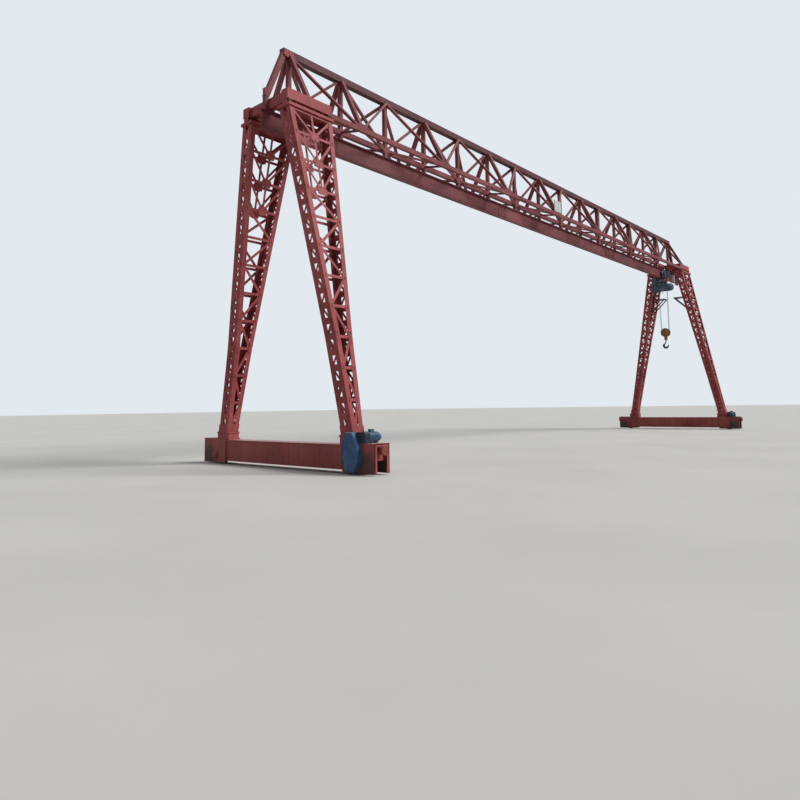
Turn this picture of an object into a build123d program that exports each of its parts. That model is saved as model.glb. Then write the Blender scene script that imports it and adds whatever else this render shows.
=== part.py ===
from build123d import *
import os

# A single girder gantry crane on two A-frames that run on a pair of floor rails.
# X runs along the girder, Y along the rails and Z up. The origin lies mid-span, under the girder,
# at the lowest point of the wheel rims. "near" is the -X frame, "front" the -Y side of each frame.

span = 30000

# Girder truss
panel_count = 15
girder_inset = 40
girder_rise = 1685
top_chord_height = 200
top_chord_width = 190
top_chord_overhang = 210
post_size = 120
web_diagonal_width = 80
web_diagonal_depth = 70
web_gusset_thickness = 16
web_gusset_drop = 90
bottom_chord_height = 160
bottom_chord_width = 130

# Side chords and the bracing of the sloping sides and the deck
side_chord_drop = 200
side_chord_height = 150
side_chord_width = 100
strut_size = 120
brace_size = 80
bracing_start_y = 72
bracing_start_rise = 20
deck_brace_size = 60

# Rolled track beam
track_gap = 145
track_height = 560
track_flange_width = 166
track_flange_thickness = 24
track_web_thickness = 14
track_overhang = 900

# Head frames, where the girder sits on the legs
head_side_overhang = 25
head_half_width = 980
head_beam_height = 280
head_beam_width = 260
head_cross_width = 200
head_cross_inset = 80

# Lattice legs
leg_height = 8560
leg_top_y = 815
leg_foot_y = 2590
leg_top_width = 1510
leg_knee_width = 560
leg_foot_width = 350
leg_knee_shift = 25
leg_foot_shift = 45
leg_top_depth = 420
leg_foot_depth = 400
leg_flange = 140
leg_flange_thickness = 12
leg_panel_count = 11
leg_knee_panel = 3
leg_rung_rise = 70
leg_star_panels = 3
leg_bar_width = 75
leg_star_bar_width = 65
leg_zigzag_width = 55
leg_bar_thickness = 10
leg_bar_end_gap = 3
leg_knee_lap = 2
narrow_face_seat = 0.51
leg_gusset_width = 300
leg_gusset_height = 200

# Caps between the legs and the head frames
cap_plate_thickness = 38
cap_plate_edge = 40
cap_web_height = 129
cap_web_thickness = 16
cap_rib_count = 6
cap_rib_width = 190

# Feet on the ground beams
pedestal_height = 185
pedestal_edge = 20
foot_plate_thickness = 25
foot_plate_edge_x = 18
foot_plate_edge_y = 95
foot_skirt_height = 230
foot_skirt_thickness = 14
foot_skirt_gap = 0.3

# Ground beams
ground_beam_bottom = 100
ground_beam_height = 590
ground_beam_width = 440
ground_flange_width = 480
ground_flange_thickness = 20

# Wheel housings
housing_start_y = 2430
housing_end_y = 3500
housing_width = 500
housing_bottom = 40
housing_rise = 40
housing_plate = 25
end_frame_inset = 125
end_frame_bottom = 330
bearing_radius = 105
bearing_depth = 48
axle_bore_depth = 34
axle_end_gap = 4

# Rail wheels
wheel_y = 2900
wheel_tread_radius = 250
wheel_rim_height = 22
wheel_tread_width = 90
wheel_rim_width = 22
wheel_rim_taper = 8
wheel_hub_radius = 90
wheel_hub_width = 180
axle_radius = 45
axle_clearance = 0.1

# Travel drives on the front ends of the ground beams
cover_wall = 6
cover_depth = 150
cover_bottom_rise = 20
cover_shoulder_drop = 210
cover_top_rise = 115
cover_inner_reach = 300
cover_outer_reach = 205
cover_peak_inset = 245
cover_slope_drop = 60
gearbox_length = 160
gearbox_width = 305
gearbox_height = 240
gearbox_gap = 20
drive_axis_rise = 140
drive_motor_radius = 115
drive_motor_length = 330
drive_motor_offset = 28
fan_cowl_length = 70
fan_cowl_radius = 104

# Rail buffers on the ends of the ground beams
buffer_radius = 115
buffer_length = 110
buffer_neck_radius = 60
buffer_neck_length = 25
buffer_drop = 160

# Cable platform brackets on the far legs
bracket_panel = 9
bracket_reach = 640
bracket_bar = 50
bracket_spacing = 420

# End braces of the girder
end_post_thickness = 100
end_post_width = 130
end_post_rise = 130
end_strut_width = 150
end_strut_depth = 140

# Track end stops
stop_inset = 380
stop_length = 30
stop_height = 90

# Hoist and its trolley
hoist_parking = 1150
trolley_plate_thickness = 16
trolley_plate_gap = 45
trolley_plate_length = 760
trolley_plate_rise = 210
trolley_plate_drop = 230
trolley_wheel_radius = 67
trolley_wheel_width = 56
trolley_hub_radius = 32
trolley_wheel_inset = 250
trolley_running_gap = 0.3
yoke_height = 90
yoke_width = 120
yoke_gap = 60
bolster_width = 120
bolster_height = 85
hoist_axis_drop = 565
drum_radius = 165
drum_flange_radius = 225
drum_length = 640
drum_flange_width = 30
hanger_lug_thickness = 50
hanger_lug_width = 200
hanger_lug_inset = 50
hoist_motor_radius = 205
hoist_motor_length = 270
hoist_motor_chamfer = 60
hoist_gearbox_width = 440
hoist_gearbox_length = 240
hoist_gearbox_fillet = 90
control_box_width = 320
control_box_depth = 220
control_box_height = 420
travel_motor_radius = 100
travel_motor_length = 280
travel_motor_rise = 100
travel_motor_offset = 215

# Ropes, hook block and hook
rope_radius = 8
rope_back_reach = 270
rope_front_reach = 240
rope_side_x = 60
rope_seat_gap = 0.3
block_centre_z = 5780
sheave_radius = 215
sheave_thickness = 42
block_sheave_gap = 12
block_cheek_thickness = 14
block_cheek_width = 500
block_cheek_fillet = 190
block_cheek_rise = 225
block_cheek_drop = 220
block_pin_radius = 28
block_pin_reach = 20
block_neck_length = 230
block_neck_radius = 80
crosshead_height = 90
crosshead_width = 200
swivel_clearance = 0.1
shank_cover = 28
hook_shank_radius = 30
hook_collar_gap = 0.4
hook_drop = 320
hook_thickness = 60
hook_throat_radius = 88
hook_body_width = 74

# Cable loops that hang under the end of the track, and their carrier arm
cable_radius = 14
cable_sides = 6
cable_loop_count = 4
cable_loop_pitch = 130
cable_loop_drop = 640
cable_bend_height = 28
cable_y = 330
cable_end_inset = 175
cable_seat_gap = 0.3
carrier_size = 50
carrier_overhang = 60

frame_x = span / 2
panel_length = (span - 2 * girder_inset) / panel_count
node_x = [panel_length * i - span / 2 + girder_inset for i in range(panel_count + 1)]

ground_beam_top = ground_beam_bottom + ground_beam_height
housing_top = ground_beam_top + housing_rise
leg_foot = ground_beam_top + pedestal_height + foot_plate_thickness
leg_top = leg_foot + leg_height
panel_height = leg_height / leg_panel_count
leg_knee = leg_foot + leg_rung_rise + leg_knee_panel * panel_height

head_length = leg_top_width + 2 * head_side_overhang
head_bottom = leg_top + 2 * cap_plate_thickness + cap_web_height
head_top = head_bottom + head_beam_height
head_beam_y = head_half_width - head_beam_width / 2

top_chord_top = head_top + girder_rise
top_chord_bottom = top_chord_top - top_chord_height
top_chord_middle = top_chord_top - top_chord_height / 2
bottom_chord_top = head_top
bottom_chord_bottom = bottom_chord_top - bottom_chord_height
bottom_chord_middle = bottom_chord_top - bottom_chord_height / 2
side_chord_top = head_top - side_chord_drop
side_chord_middle = side_chord_top - side_chord_height / 2
side_chord_y = head_half_width - side_chord_width / 2
track_top = bottom_chord_bottom - track_gap
track_bottom = track_top - track_height

wheel_axle_z = wheel_tread_radius + wheel_rim_height
drive_axis_z = housing_top + drive_axis_rise
gearbox_inner_y = leg_foot_y + leg_foot_depth / 2 + foot_plate_edge_y + gearbox_gap
buffer_z = housing_top - buffer_drop

hoist_x = frame_x - hoist_parking
hoist_axis_z = track_bottom - hoist_axis_drop
trolley_plate_y = track_flange_width / 2 + trolley_plate_gap
trolley_plate_top = track_bottom + trolley_plate_rise
trolley_plate_bottom = track_bottom - trolley_plate_drop
yoke_top = track_bottom - yoke_gap
yoke_bottom = yoke_top - yoke_height
bolster_bottom = yoke_bottom - bolster_height
spreader_bottom = bolster_bottom - bolster_height
block_bottom = block_centre_z - block_cheek_drop
block_neck_bottom = block_bottom - block_neck_length
hook_bowl_z = block_neck_bottom - hook_drop

cable_end_x = frame_x + leg_top_width / 2 - cable_end_inset
cable_start_x = cable_end_x - cable_loop_pitch * cable_loop_count

ends = {"near": -1, "far": 1}
sides = {"front": -1, "back": 1}


def block(low, high):
    """A box between two opposite corners."""
    size = [high[i] - low[i] for i in range(3)]
    middle = [(high[i] + low[i]) / 2 for i in range(3)]
    return Pos(*middle) * Box(*size)


def bar(start, end, across, width, depth):
    """A straight bar; width lies along the direction across, depth square to it."""
    run = Vector(*end) - Vector(*start)
    plane = Plane(origin=start, x_dir=across, z_dir=run)
    return extrude(plane * Rectangle(width, depth), run.length)


def rod(start, end, radius):
    """A straight round bar."""
    run = Vector(*end) - Vector(*start)
    plane = Plane(origin=start, z_dir=run)
    return extrude(plane * Circle(radius), run.length)


def fused(pieces):
    """One solid from pieces that cross each other."""
    return pieces[0].fuse(*pieces[1:]).clean()


def trimmed(piece, *others):
    """The piece with everything that others occupy cut away."""
    for other in others:
        piece = piece - other
    return piece


def write(name, shape):
    """Writes one sub-part under its own name."""
    solids = list(shape) if isinstance(shape, list) else [shape]
    bodies = [solid for item in solids for solid in item.solids()]
    export_step(Compound(children=bodies) if len(bodies) > 1 else bodies[0], f"parts/{name}.step")


# Girder

def make_top_chord():
    end_x = frame_x + top_chord_overhang
    half = top_chord_width / 2
    return block((-end_x, -half, top_chord_bottom), (end_x, half, top_chord_top))


def make_centre_truss():
    """Posts, zigzag diagonals with their top gussets and the bottom chord, all in the middle plane."""
    end_x = frame_x + head_length / 2 - head_cross_inset - head_cross_width
    half = bottom_chord_width / 2
    pieces = [block((-end_x, -half, bottom_chord_bottom), (end_x, half, bottom_chord_top))]
    for x in node_x:
        half = post_size / 2
        pieces.append(block((x - half, -half, track_top), (x + half, half, top_chord_bottom)))
    run_per_rise = panel_length / (top_chord_middle - bottom_chord_middle)
    gusset_reach = top_chord_height / 2 * run_per_rise
    gusset_low = top_chord_bottom - web_gusset_drop
    for i in range(1, panel_count + 1, 2):
        x, half = node_x[i], web_gusset_thickness / 2
        gusset = block((x - gusset_reach, -half, gusset_low), (x + gusset_reach, half, top_chord_bottom))
        pieces.append(gusset)
        for j in (i - 1, i + 1):
            if j > panel_count:
                continue
            start = (node_x[i], 0, top_chord_middle)
            end = (node_x[j], 0, bottom_chord_middle)
            diagonal = bar(start, end, (0, 1, 0), web_diagonal_depth, web_diagonal_width)
            pieces.append(diagonal)
    return trimmed(fused(pieces), make_top_chord())


def make_side_chord(side):
    end_x = frame_x - head_length / 2
    y = side * side_chord_y
    half = side_chord_width / 2
    low = side_chord_top - side_chord_height
    return block((-end_x, y - half, low), (end_x, y + half, side_chord_top))


def make_side_bracing(side, solids_around):
    """Thick struts and long braces of one sloping side, from the top chord to the side chord."""
    pieces = []
    start_y = side * bracing_start_y
    start_z = top_chord_bottom + bracing_start_rise
    for i in range(-1, panel_count + 1, 2):
        feet = max(i, 0)
        foot = (node_x[feet], side * side_chord_y, side_chord_middle)
        if feet in (0, panel_count):
            foot = (node_x[feet], side * head_beam_y, head_top)
        for j in (i - 1, i, i + 1):
            if j < 0 or j > panel_count:
                continue
            if feet == 0 and j != 0:
                continue
            size = strut_size if j == feet else brace_size
            pieces.append(bar((node_x[j], start_y, start_z), foot, (1, 0, 0), size, size))
    return [trimmed(solid, *solids_around) for solid in split_groups(pieces)]


def split_groups(pieces):
    """Fuses bars that cross and keeps apart the groups that don't."""
    return fused(pieces).solids()


def make_deck_bracing(side, solids_around):
    """Flat bracing between the bottom chord and one side chord."""
    pieces = []
    for i in range(1, panel_count, 2):
        foot = (node_x[i], side * side_chord_y, side_chord_middle)
        for j in (i - 1, i, i + 1):
            start = (node_x[j], 0, bottom_chord_middle)
            pieces.append(bar(start, foot, (0, 0, 1), deck_brace_size, deck_brace_size))
    return [trimmed(solid, *solids_around) for solid in split_groups(pieces)]


def make_track_beam():
    """A rolled I-beam, drawn as its section and extruded along the span."""
    half_flange = track_flange_width / 2
    half_web = track_web_thickness / 2
    inner = track_height / 2 - track_flange_thickness
    outer = track_height / 2
    quarter = [(0, outer), (half_flange, outer), (half_flange, inner), (half_web, inner)]
    right = quarter + [(half_web, -inner), (half_flange, -inner), (half_flange, -outer)]
    left = [(-y, z) for y, z in reversed(right)]
    outline = right + left[:-1]
    end_x = frame_x + track_overhang
    middle = track_top - track_height / 2
    plane = Plane(origin=(-end_x, 0, middle), x_dir=(0, 1, 0), z_dir=(1, 0, 0))
    return extrude(plane * Polygon(*outline, align=None), 2 * end_x, dir=(1, 0, 0))


def make_end_brace(end, solids_around):
    """The post on the track, against the head frame, and the strut from the girder's peak to it."""
    inner_x = end * (frame_x + head_length / 2 - head_cross_inset)
    outer_x = inner_x + end * end_post_thickness
    half = end_post_width / 2
    top_z = head_top + end_post_rise
    post = block(*corners((outer_x, -half, track_top), (inner_x, half, top_z)))
    start = (end * (frame_x + top_chord_overhang - end_strut_depth / 2), 0, top_chord_middle)
    foot = ((outer_x + inner_x) / 2, 0, top_z - end_strut_depth / 2)
    strut = bar(start, foot, (0, 1, 0), end_strut_width, end_strut_depth)
    return trimmed(fused([post, strut]), *solids_around)


def make_track_stop(end):
    """Two plates on the track's lower flange that stop the trolley's wheels."""
    face = end * (frame_x - stop_inset)
    low_x, high_x = sorted((face, face + end * stop_length))
    low_z = track_bottom + track_flange_thickness
    stops = []
    for side in sides.values():
        low_y, high_y = sorted((side * track_web_thickness / 2, side * track_flange_width / 2))
        stops.append(block((low_x, low_y, low_z), (high_x, high_y, low_z + stop_height)))
    return stops


def make_head_frame(end):
    """Two side beams and two cross beams; the inner one is open where the bottom chord passes."""
    middle = end * frame_x
    half = head_length / 2
    pieces = []
    for side in sides.values():
        low_y, high_y = sorted((side * head_half_width, side * (head_half_width - head_beam_width)))
        pieces.append(block((middle - half, low_y, head_bottom), (middle + half, high_y, head_top)))
        inner_x = middle - end * half
        low_x, high_x = sorted((inner_x, inner_x + end * head_cross_width))
        low_y, high_y = sorted((side * bottom_chord_width / 2, side * head_half_width))
        pieces.append(block((low_x, low_y, head_bottom), (high_x, high_y, head_top)))
    outer_x = middle + end * (half - head_cross_inset)
    low_x, high_x = sorted((outer_x, outer_x - end * head_cross_width))
    pieces.append(block((low_x, -head_half_width, head_bottom), (high_x, head_half_width, head_top)))
    return fused(pieces)


# Legs

def rung_z(k):
    """The height of the k-th rung, counted from the foot."""
    return leg_foot + leg_rung_rise + k * panel_height


def leg_share(z):
    """How far up the leg a height lies, from 0 at the foot to 1 at the top."""
    return (z - leg_foot) / (leg_top - leg_foot)


def leg_centre_y(z):
    return leg_foot_y + (leg_top_y - leg_foot_y) * leg_share(z)


def leg_depth(z):
    return leg_foot_depth + (leg_top_depth - leg_foot_depth) * leg_share(z)


def kneed(z, at_foot, at_knee, at_top):
    """A size of the leg that changes at one rate below the knee and at another above it."""
    if z <= leg_knee:
        return at_foot + (at_knee - at_foot) * (z - leg_foot) / (leg_knee - leg_foot)
    return at_knee + (at_top - at_knee) * (z - leg_knee) / (leg_top - leg_knee)


def leg_width(z):
    return kneed(z, leg_foot_width, leg_knee_width, leg_top_width)


def leg_centre_x(end, z):
    """The middle of a leg's width, which lies a little outside the frame's middle at the foot."""
    return end * (frame_x + kneed(z, leg_foot_shift, leg_knee_shift, 0))


def leg_corner(end, side, x_sign, y_sign, z):
    """The outer corner of one chord; y_sign is +1 on the side away from the girder's middle."""
    x = leg_centre_x(end, z) + x_sign * leg_width(z) / 2
    y = side * (leg_centre_y(z) + y_sign * leg_depth(z) / 2)
    return Vector(x, y, z)


def make_leg_chord(end, side, x_sign, y_sign):
    """One corner angle of a leg, with its two flanges in the leg's faces."""
    t, f = leg_flange_thickness, leg_flange
    outline = [(0, 0), (f, 0), (f, t), (t, t), (t, f), (0, f)]
    inward = (-x_sign, -y_sign * side)
    heights = [leg_foot, leg_knee, leg_top]
    pieces = []
    for low, high in zip(heights, heights[1:]):
        start = leg_corner(end, side, x_sign, y_sign, low)
        run = leg_corner(end, side, x_sign, y_sign, high) - start
        points = [(start.X + inward[0] * x, start.Y + inward[1] * y) for x, y in outline]
        section = Pos(0, 0, low) * Polygon(*points, align=None)
        pieces.append(extrude(section, run.length, dir=run.normalized()))
    return fused(pieces)


def wide_face_point(end, side, y_sign, x_share, z):
    """A point in the layer of bars behind a wide face; x_share runs from -1 to 1 across it."""
    slope = (leg_top_y - leg_foot_y + y_sign * (leg_top_depth - leg_foot_depth) / 2) / (leg_top - leg_foot)
    inset = leg_flange_thickness + leg_bar_thickness / 2 * (1 + slope ** 2) ** 0.5
    x = leg_centre_x(end, z) + x_share * (leg_width(z) / 2 - leg_flange / 2)
    y = side * (leg_centre_y(z) + y_sign * (leg_depth(z) / 2 - inset))
    return Vector(x, y, z)


def wide_face_bar(end, side, y_sign, start, finish, width):
    """One flat bar between two (x_share, z) points of a wide face."""
    a = wide_face_point(end, side, y_sign, *start)
    b = wide_face_point(end, side, y_sign, *finish)
    up = wide_face_point(end, side, y_sign, start[0], start[1] + panel_height) - a
    normal = up.cross(Vector(1, 0, 0)).normalized()
    return bar(tuple(a), tuple(b), tuple(normal), leg_bar_thickness, width)


def make_wide_face(end, side, y_sign):
    """Ladder of a wide face: star panels at the top and single diagonals below."""
    pieces = []
    lean_sign = y_sign * end * side
    for k in range(1, leg_panel_count):
        z = rung_z(k)
        pieces.append(wide_face_bar(end, side, y_sign, (-1, z), (1, z), leg_bar_width))
    edge = leg_bar_width / 2 + leg_bar_end_gap
    for z in (leg_foot + edge, leg_top - edge):
        pieces.append(wide_face_bar(end, side, y_sign, (-1, z), (1, z), leg_bar_width))
    for k in range(leg_panel_count):
        low = rung_z(k) if k else leg_foot + edge
        high = min(rung_z(k + 1), leg_top - edge)
        if k >= leg_panel_count - leg_star_panels:
            for x_share in (-1, 0, 1):
                ray = wide_face_bar(end, side, y_sign, (0, low), (x_share, high), leg_star_bar_width)
                pieces.append(ray)
            half = leg_gusset_height / 2
            ends_z = ((0, low - half), (0, low + half))
            pieces.append(wide_face_bar(end, side, y_sign, *ends_z, leg_gusset_width))
        else:
            rising = -lean_sign if k % 2 else lean_sign
            diagonal = wide_face_bar(end, side, y_sign, (-rising, low), (rising, high), leg_bar_width)
            pieces.append(diagonal)
    return fused(pieces)


def mitred_edges(points, half):
    """The left and right edges of a band of even width along a zigzag."""
    left, right = [], []
    for k, here in enumerate(points):
        arriving = (here - points[k - 1]).normalized() if k > 0 else None
        leaving = (points[k + 1] - here).normalized() if k < len(points) - 1 else arriving
        arriving = arriving or leaving
        mitre = Vector(-arriving.Y - leaving.Y, arriving.X + leaving.X).normalized()
        reach = half / mitre.dot(Vector(-arriving.Y, arriving.X))
        left.append(here + mitre * reach)
        right.append(here - mitre * reach)
    return left, right


def make_narrow_face(end, side, x_sign):
    """A zigzag band of two bars to each panel, in two flat plates that meet at the knee."""
    edge = leg_zigzag_width / 2 + leg_bar_end_gap
    heights = [rung_z(k / 2) for k in range(2 * leg_panel_count + 1)]
    heights[0] = leg_foot + edge
    heights[-1] = leg_top - edge
    points = []
    for k, z in enumerate(heights):
        swing = (leg_depth(z) - leg_flange) / 2 if k % 2 else (leg_flange - leg_depth(z)) / 2
        points.append(Vector(side * (leg_centre_y(z) + swing), z))
    left, right = mitred_edges(points, leg_zigzag_width / 2)
    knee = 2 * leg_knee_panel
    pieces = []
    for first, last, joint, lap in ((0, knee, -1, leg_knee_lap), (knee, len(points) - 1, 0, -leg_knee_lap)):
        edges = [left[first:last + 1], right[first:last + 1]]
        for line in edges:
            line[joint] = line[joint] + Vector(0, lap)
        start, finish = [Vector(leg_centre_x(end, z) + x_sign * narrow_face_reach(z), 0, z)
                         for z in (heights[first], heights[last])]
        run = finish - start
        stretch = run.length / run.Z
        outline = [(point.X, (point.Y - start.Z) * stretch) for point in edges[0] + edges[1][::-1]]
        plane = Plane(origin=start, x_dir=(0, 1, 0), z_dir=(run.Z, 0, -run.X))
        pieces.append(extrude(plane * Polygon(*outline, align=None), leg_bar_thickness / 2, both=True))
    return fused(pieces)


def narrow_face_reach(z):
    """How far the bars of a narrow face lie from the middle of the leg."""
    return leg_width(z) / 2 - leg_flange_thickness - leg_bar_thickness * narrow_face_seat


def make_leg_cap(end, side):
    """Two bolted plates on the leg, with a ribbed web that carries the head frame."""
    middle = end * frame_x
    half_x = leg_top_width / 2 + cap_plate_edge
    inner_y = leg_top_y - leg_top_depth / 2 - cap_plate_edge
    outer_y = leg_top_y + leg_top_depth / 2 + cap_plate_edge
    low_y, high_y = sorted((side * inner_y, side * outer_y))
    plates_top = leg_top + 2 * cap_plate_thickness
    pieces = [block((middle - half_x, low_y, leg_top), (middle + half_x, high_y, plates_top))]
    web_y = side * head_beam_y
    half_web = cap_web_thickness / 2
    half_head = head_length / 2
    pieces.append(block((middle - half_head, web_y - half_web, plates_top),
                        (middle + half_head, web_y + half_web, head_bottom)))
    for i in range(cap_rib_count):
        share = i / (cap_rib_count - 1) - 0.5
        x = middle + share * (head_length - 2 * cap_web_thickness)
        pieces.append(block((x - half_web, web_y - cap_rib_width / 2, plates_top),
                            (x + half_web, web_y + cap_rib_width / 2, head_bottom)))
    return fused(pieces)


def make_leg_foot(end, side):
    """Bolted foot plate with flared skirts round the leg and a pedestal on the ground beam."""
    middle = leg_centre_x(end, leg_foot)
    half_x = leg_foot_width / 2 + foot_plate_edge_x
    half_y = leg_foot_depth / 2 + foot_plate_edge_y
    y = side * leg_foot_y
    plate_low = leg_foot - foot_plate_thickness
    pieces = [block((middle - half_x, y - half_y, plate_low), (middle + half_x, y + half_y, leg_foot))]
    ped_x, ped_y = half_x - pedestal_edge, half_y - pedestal_edge
    pieces.append(block((middle - ped_x, y - ped_y, ground_beam_top), (middle + ped_x, y + ped_y, plate_low)))
    skirt_top = leg_foot + foot_skirt_height
    lean_x = leg_centre_x(end, skirt_top) - middle
    lean_y = side * (leg_centre_y(skirt_top) - leg_foot_y)
    sleeves = []
    for grow in (foot_skirt_gap + foot_skirt_thickness, foot_skirt_gap):
        low_size = (leg_foot_width + 2 * grow, leg_foot_depth + 2 * grow)
        high_size = (leg_width(skirt_top) + 2 * grow, leg_depth(skirt_top) + 2 * grow)
        low = Pos(middle, y, leg_foot) * Rectangle(*low_size)
        high = Pos(middle + lean_x, y + lean_y, skirt_top) * Rectangle(*high_size)
        sleeves.append(loft([low.face(), high.face()], ruled=True))
    return fused([*pieces, sleeves[0]]) - sleeves[1]


# Ground beams, wheels and drives

def make_ground_beam(end):
    """A box beam with wider flange plates, between the two wheel housings."""
    middle = end * frame_x
    web, flange = ground_beam_width / 2, ground_flange_width / 2
    t = ground_flange_thickness
    y = housing_start_y
    pieces = [block((middle - web, -y, ground_beam_bottom), (middle + web, y, ground_beam_top))]
    for low in (ground_beam_bottom, ground_beam_top - t):
        pieces.append(block((middle - flange, -y, low), (middle + flange, y, low + t)))
    return fused(pieces)


def make_wheel_housing(end, side, foot):
    """Two cheek plates, a roof and an end frame, with a bearing boss on each cheek."""
    middle = end * frame_x
    half = housing_width / 2
    start, finish = side * housing_start_y, side * housing_end_y
    low_y, high_y = sorted((start, finish))
    low_z = housing_bottom
    pieces = []
    for sign in (-1, 1):
        low_x, high_x = sorted((middle + sign * half, middle + sign * (half - housing_plate)))
        pieces.append(block((low_x, low_y, low_z), (high_x, high_y, housing_top)))
    roof_low = housing_top - housing_plate
    pieces.append(block((middle - half, low_y, roof_low), (middle + half, high_y, housing_top)))
    for y in (start, finish - side * end_frame_inset):
        a, b = sorted((y, y + side * housing_plate))
        pieces.append(block((middle - half, a, end_frame_bottom), (middle + half, b, roof_low)))
    axle_y = side * wheel_y
    for sign in (-1, 1):
        inner, outer = middle + sign * half, middle + sign * (half + bearing_depth)
        boss = rod((inner, axle_y, wheel_axle_z), (outer, axle_y, wheel_axle_z), bearing_radius)
        pieces.append(boss)
    solid = fused(pieces)
    reach = half + axle_bore_depth
    bore = rod((middle - reach, axle_y, wheel_axle_z), (middle + reach, axle_y, wheel_axle_z),
               axle_radius + axle_clearance)
    return solid - bore - foot


def make_rail_wheel(end, side):
    """A double-rimmed wheel turned with its axle about X."""
    tread, rim = wheel_tread_radius, wheel_tread_radius + wheel_rim_height
    half_tread = wheel_tread_width / 2
    half_rim = half_tread + wheel_rim_width
    half_hub = wheel_hub_width / 2
    axle_half = housing_width / 2 + axle_bore_depth - axle_end_gap
    profile = [(-axle_half, 0), (-axle_half, axle_radius), (-half_hub, axle_radius)]
    profile += [(-half_hub, wheel_hub_radius), (-half_rim, wheel_hub_radius)]
    profile += [(-half_rim, rim), (-half_tread - wheel_rim_taper, rim), (-half_tread, tread)]
    outline = profile + [(-x, r) for x, r in reversed(profile)]
    plane = Plane(origin=(0, 0, 0), x_dir=(1, 0, 0), z_dir=(0, -1, 0))
    wheel = revolve(plane * Polygon(*outline, align=None), Axis.X)
    return Pos(end * frame_x, side * wheel_y, wheel_axle_z) * wheel


def make_rail_buffer(end, side):
    """A round buffer pad on a short neck, on the end frame of a wheel housing."""
    x = end * frame_x
    seat = side * (housing_end_y - end_frame_inset + housing_plate)
    neck_end = side * (housing_end_y + buffer_neck_length)
    tip = side * (housing_end_y + buffer_length)
    neck = rod((x, seat, buffer_z), (x, neck_end, buffer_z), buffer_neck_radius)
    pad = rod((x, neck_end, buffer_z), (x, tip, buffer_z), buffer_radius)
    return fused([neck, pad])


def make_drive_cover(end):
    """A sheet chain case, open towards the wheel housing."""
    face = end * (frame_x + housing_width / 2)
    inner_y, outer_y = cover_inner_reach - wheel_y, -cover_outer_reach - wheel_y
    low_z, high_z = housing_bottom + cover_bottom_rise, drive_axis_z + cover_top_rise
    points = [(inner_y, low_z), (outer_y, low_z), (outer_y, drive_axis_z - cover_shoulder_drop)]
    points += [(outer_y + cover_peak_inset, high_z), (inner_y, high_z - cover_slope_drop)]
    outer = Polygon(*points, align=None)
    inner = offset(outer, -cover_wall, kind=Kind.INTERSECTION)
    plane = Plane(origin=(face, 0, 0), x_dir=(0, 1, 0), z_dir=(1, 0, 0))
    case = extrude(plane * outer, cover_depth, dir=(end, 0, 0))
    hollow = extrude(plane * inner, cover_depth - cover_wall, dir=(end, 0, 0))
    return case - hollow


def make_drive_gearbox(end):
    """A reducer on the roof of the front wheel housing, beside the chain case."""
    face = end * (frame_x + housing_width / 2)
    back = face - end * gearbox_length
    inner_y, outer_y = -gearbox_inner_y, -gearbox_inner_y - gearbox_width
    half = gearbox_height / 2
    box = block(*corners((face, outer_y, drive_axis_z - half), (back, inner_y, drive_axis_z + half)))
    box = fillet(box.edges().filter_by(Axis.X), gearbox_height / 5)
    foot = block(*corners((face, outer_y, housing_top), (back, inner_y, drive_axis_z)))
    return fused([box, foot])


def make_drive_motor(end):
    """The travel motor, in line with the reducer's input, with a fan cowl on its far end."""
    start = end * (frame_x + housing_width / 2 - gearbox_length)
    middle = start - end * drive_motor_length
    finish = middle - end * fan_cowl_length
    y = -gearbox_inner_y - gearbox_width / 2 - drive_motor_offset
    body = rod((start, y, drive_axis_z), (middle, y, drive_axis_z), drive_motor_radius)
    cowl = rod((middle, y, drive_axis_z), (finish, y, drive_axis_z), fan_cowl_radius)
    return fused([body, cowl])


def make_leg_envelope(end, side):
    """The space inside a leg's outer flanges above the knee, for trimming what meets the leg."""
    outlines = []
    for z in (leg_knee, leg_top):
        y = side * leg_centre_y(z)
        size = (leg_width(z), leg_depth(z) - 2 * leg_flange_thickness)
        outlines.append((Pos(leg_centre_x(end, z), y, z) * Rectangle(*size)).face())
    return loft(outlines, ruled=True)


def make_platform_bracket(side):
    """Two triangular frames on the inner face of a far leg, from one rung of the leg to the next."""
    high_z, low_z = rung_z(bracket_panel), rung_z(bracket_panel - 1)
    inside_y = side * leg_centre_y(high_z)
    tip_y = side * (leg_centre_y(high_z) - leg_depth(high_z) / 2 - bracket_reach)
    low_y = side * (leg_centre_y(low_z) - leg_depth(low_z) / 2)
    spread = bracket_spacing / 2
    half = bracket_bar / 2
    pieces = []
    for sign in (-1, 1):
        x = frame_x + sign * spread
        pieces.append(bar((x, inside_y, high_z), (x, tip_y, high_z), (1, 0, 0), bracket_bar, bracket_bar))
        tip, foot = Vector(x, tip_y, high_z), Vector(x, low_y, low_z)
        inner_end = foot + (foot - tip).normalized() * 2 * bracket_bar
        pieces.append(bar(tuple(inner_end), tuple(tip), (1, 0, 0), bracket_bar, bracket_bar))
    pieces.append(block(*corners((frame_x - spread, tip_y, high_z - half),
                                 (frame_x + spread, tip_y + side * bracket_bar, high_z + half))))
    return fused(pieces) - make_leg_envelope(1, side)


def corners(a, b):
    """The lowest and highest corner of a box given by any two opposite corners."""
    return tuple(map(min, zip(a, b))), tuple(map(max, zip(a, b)))


# Hoist, ropes and hook

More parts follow.
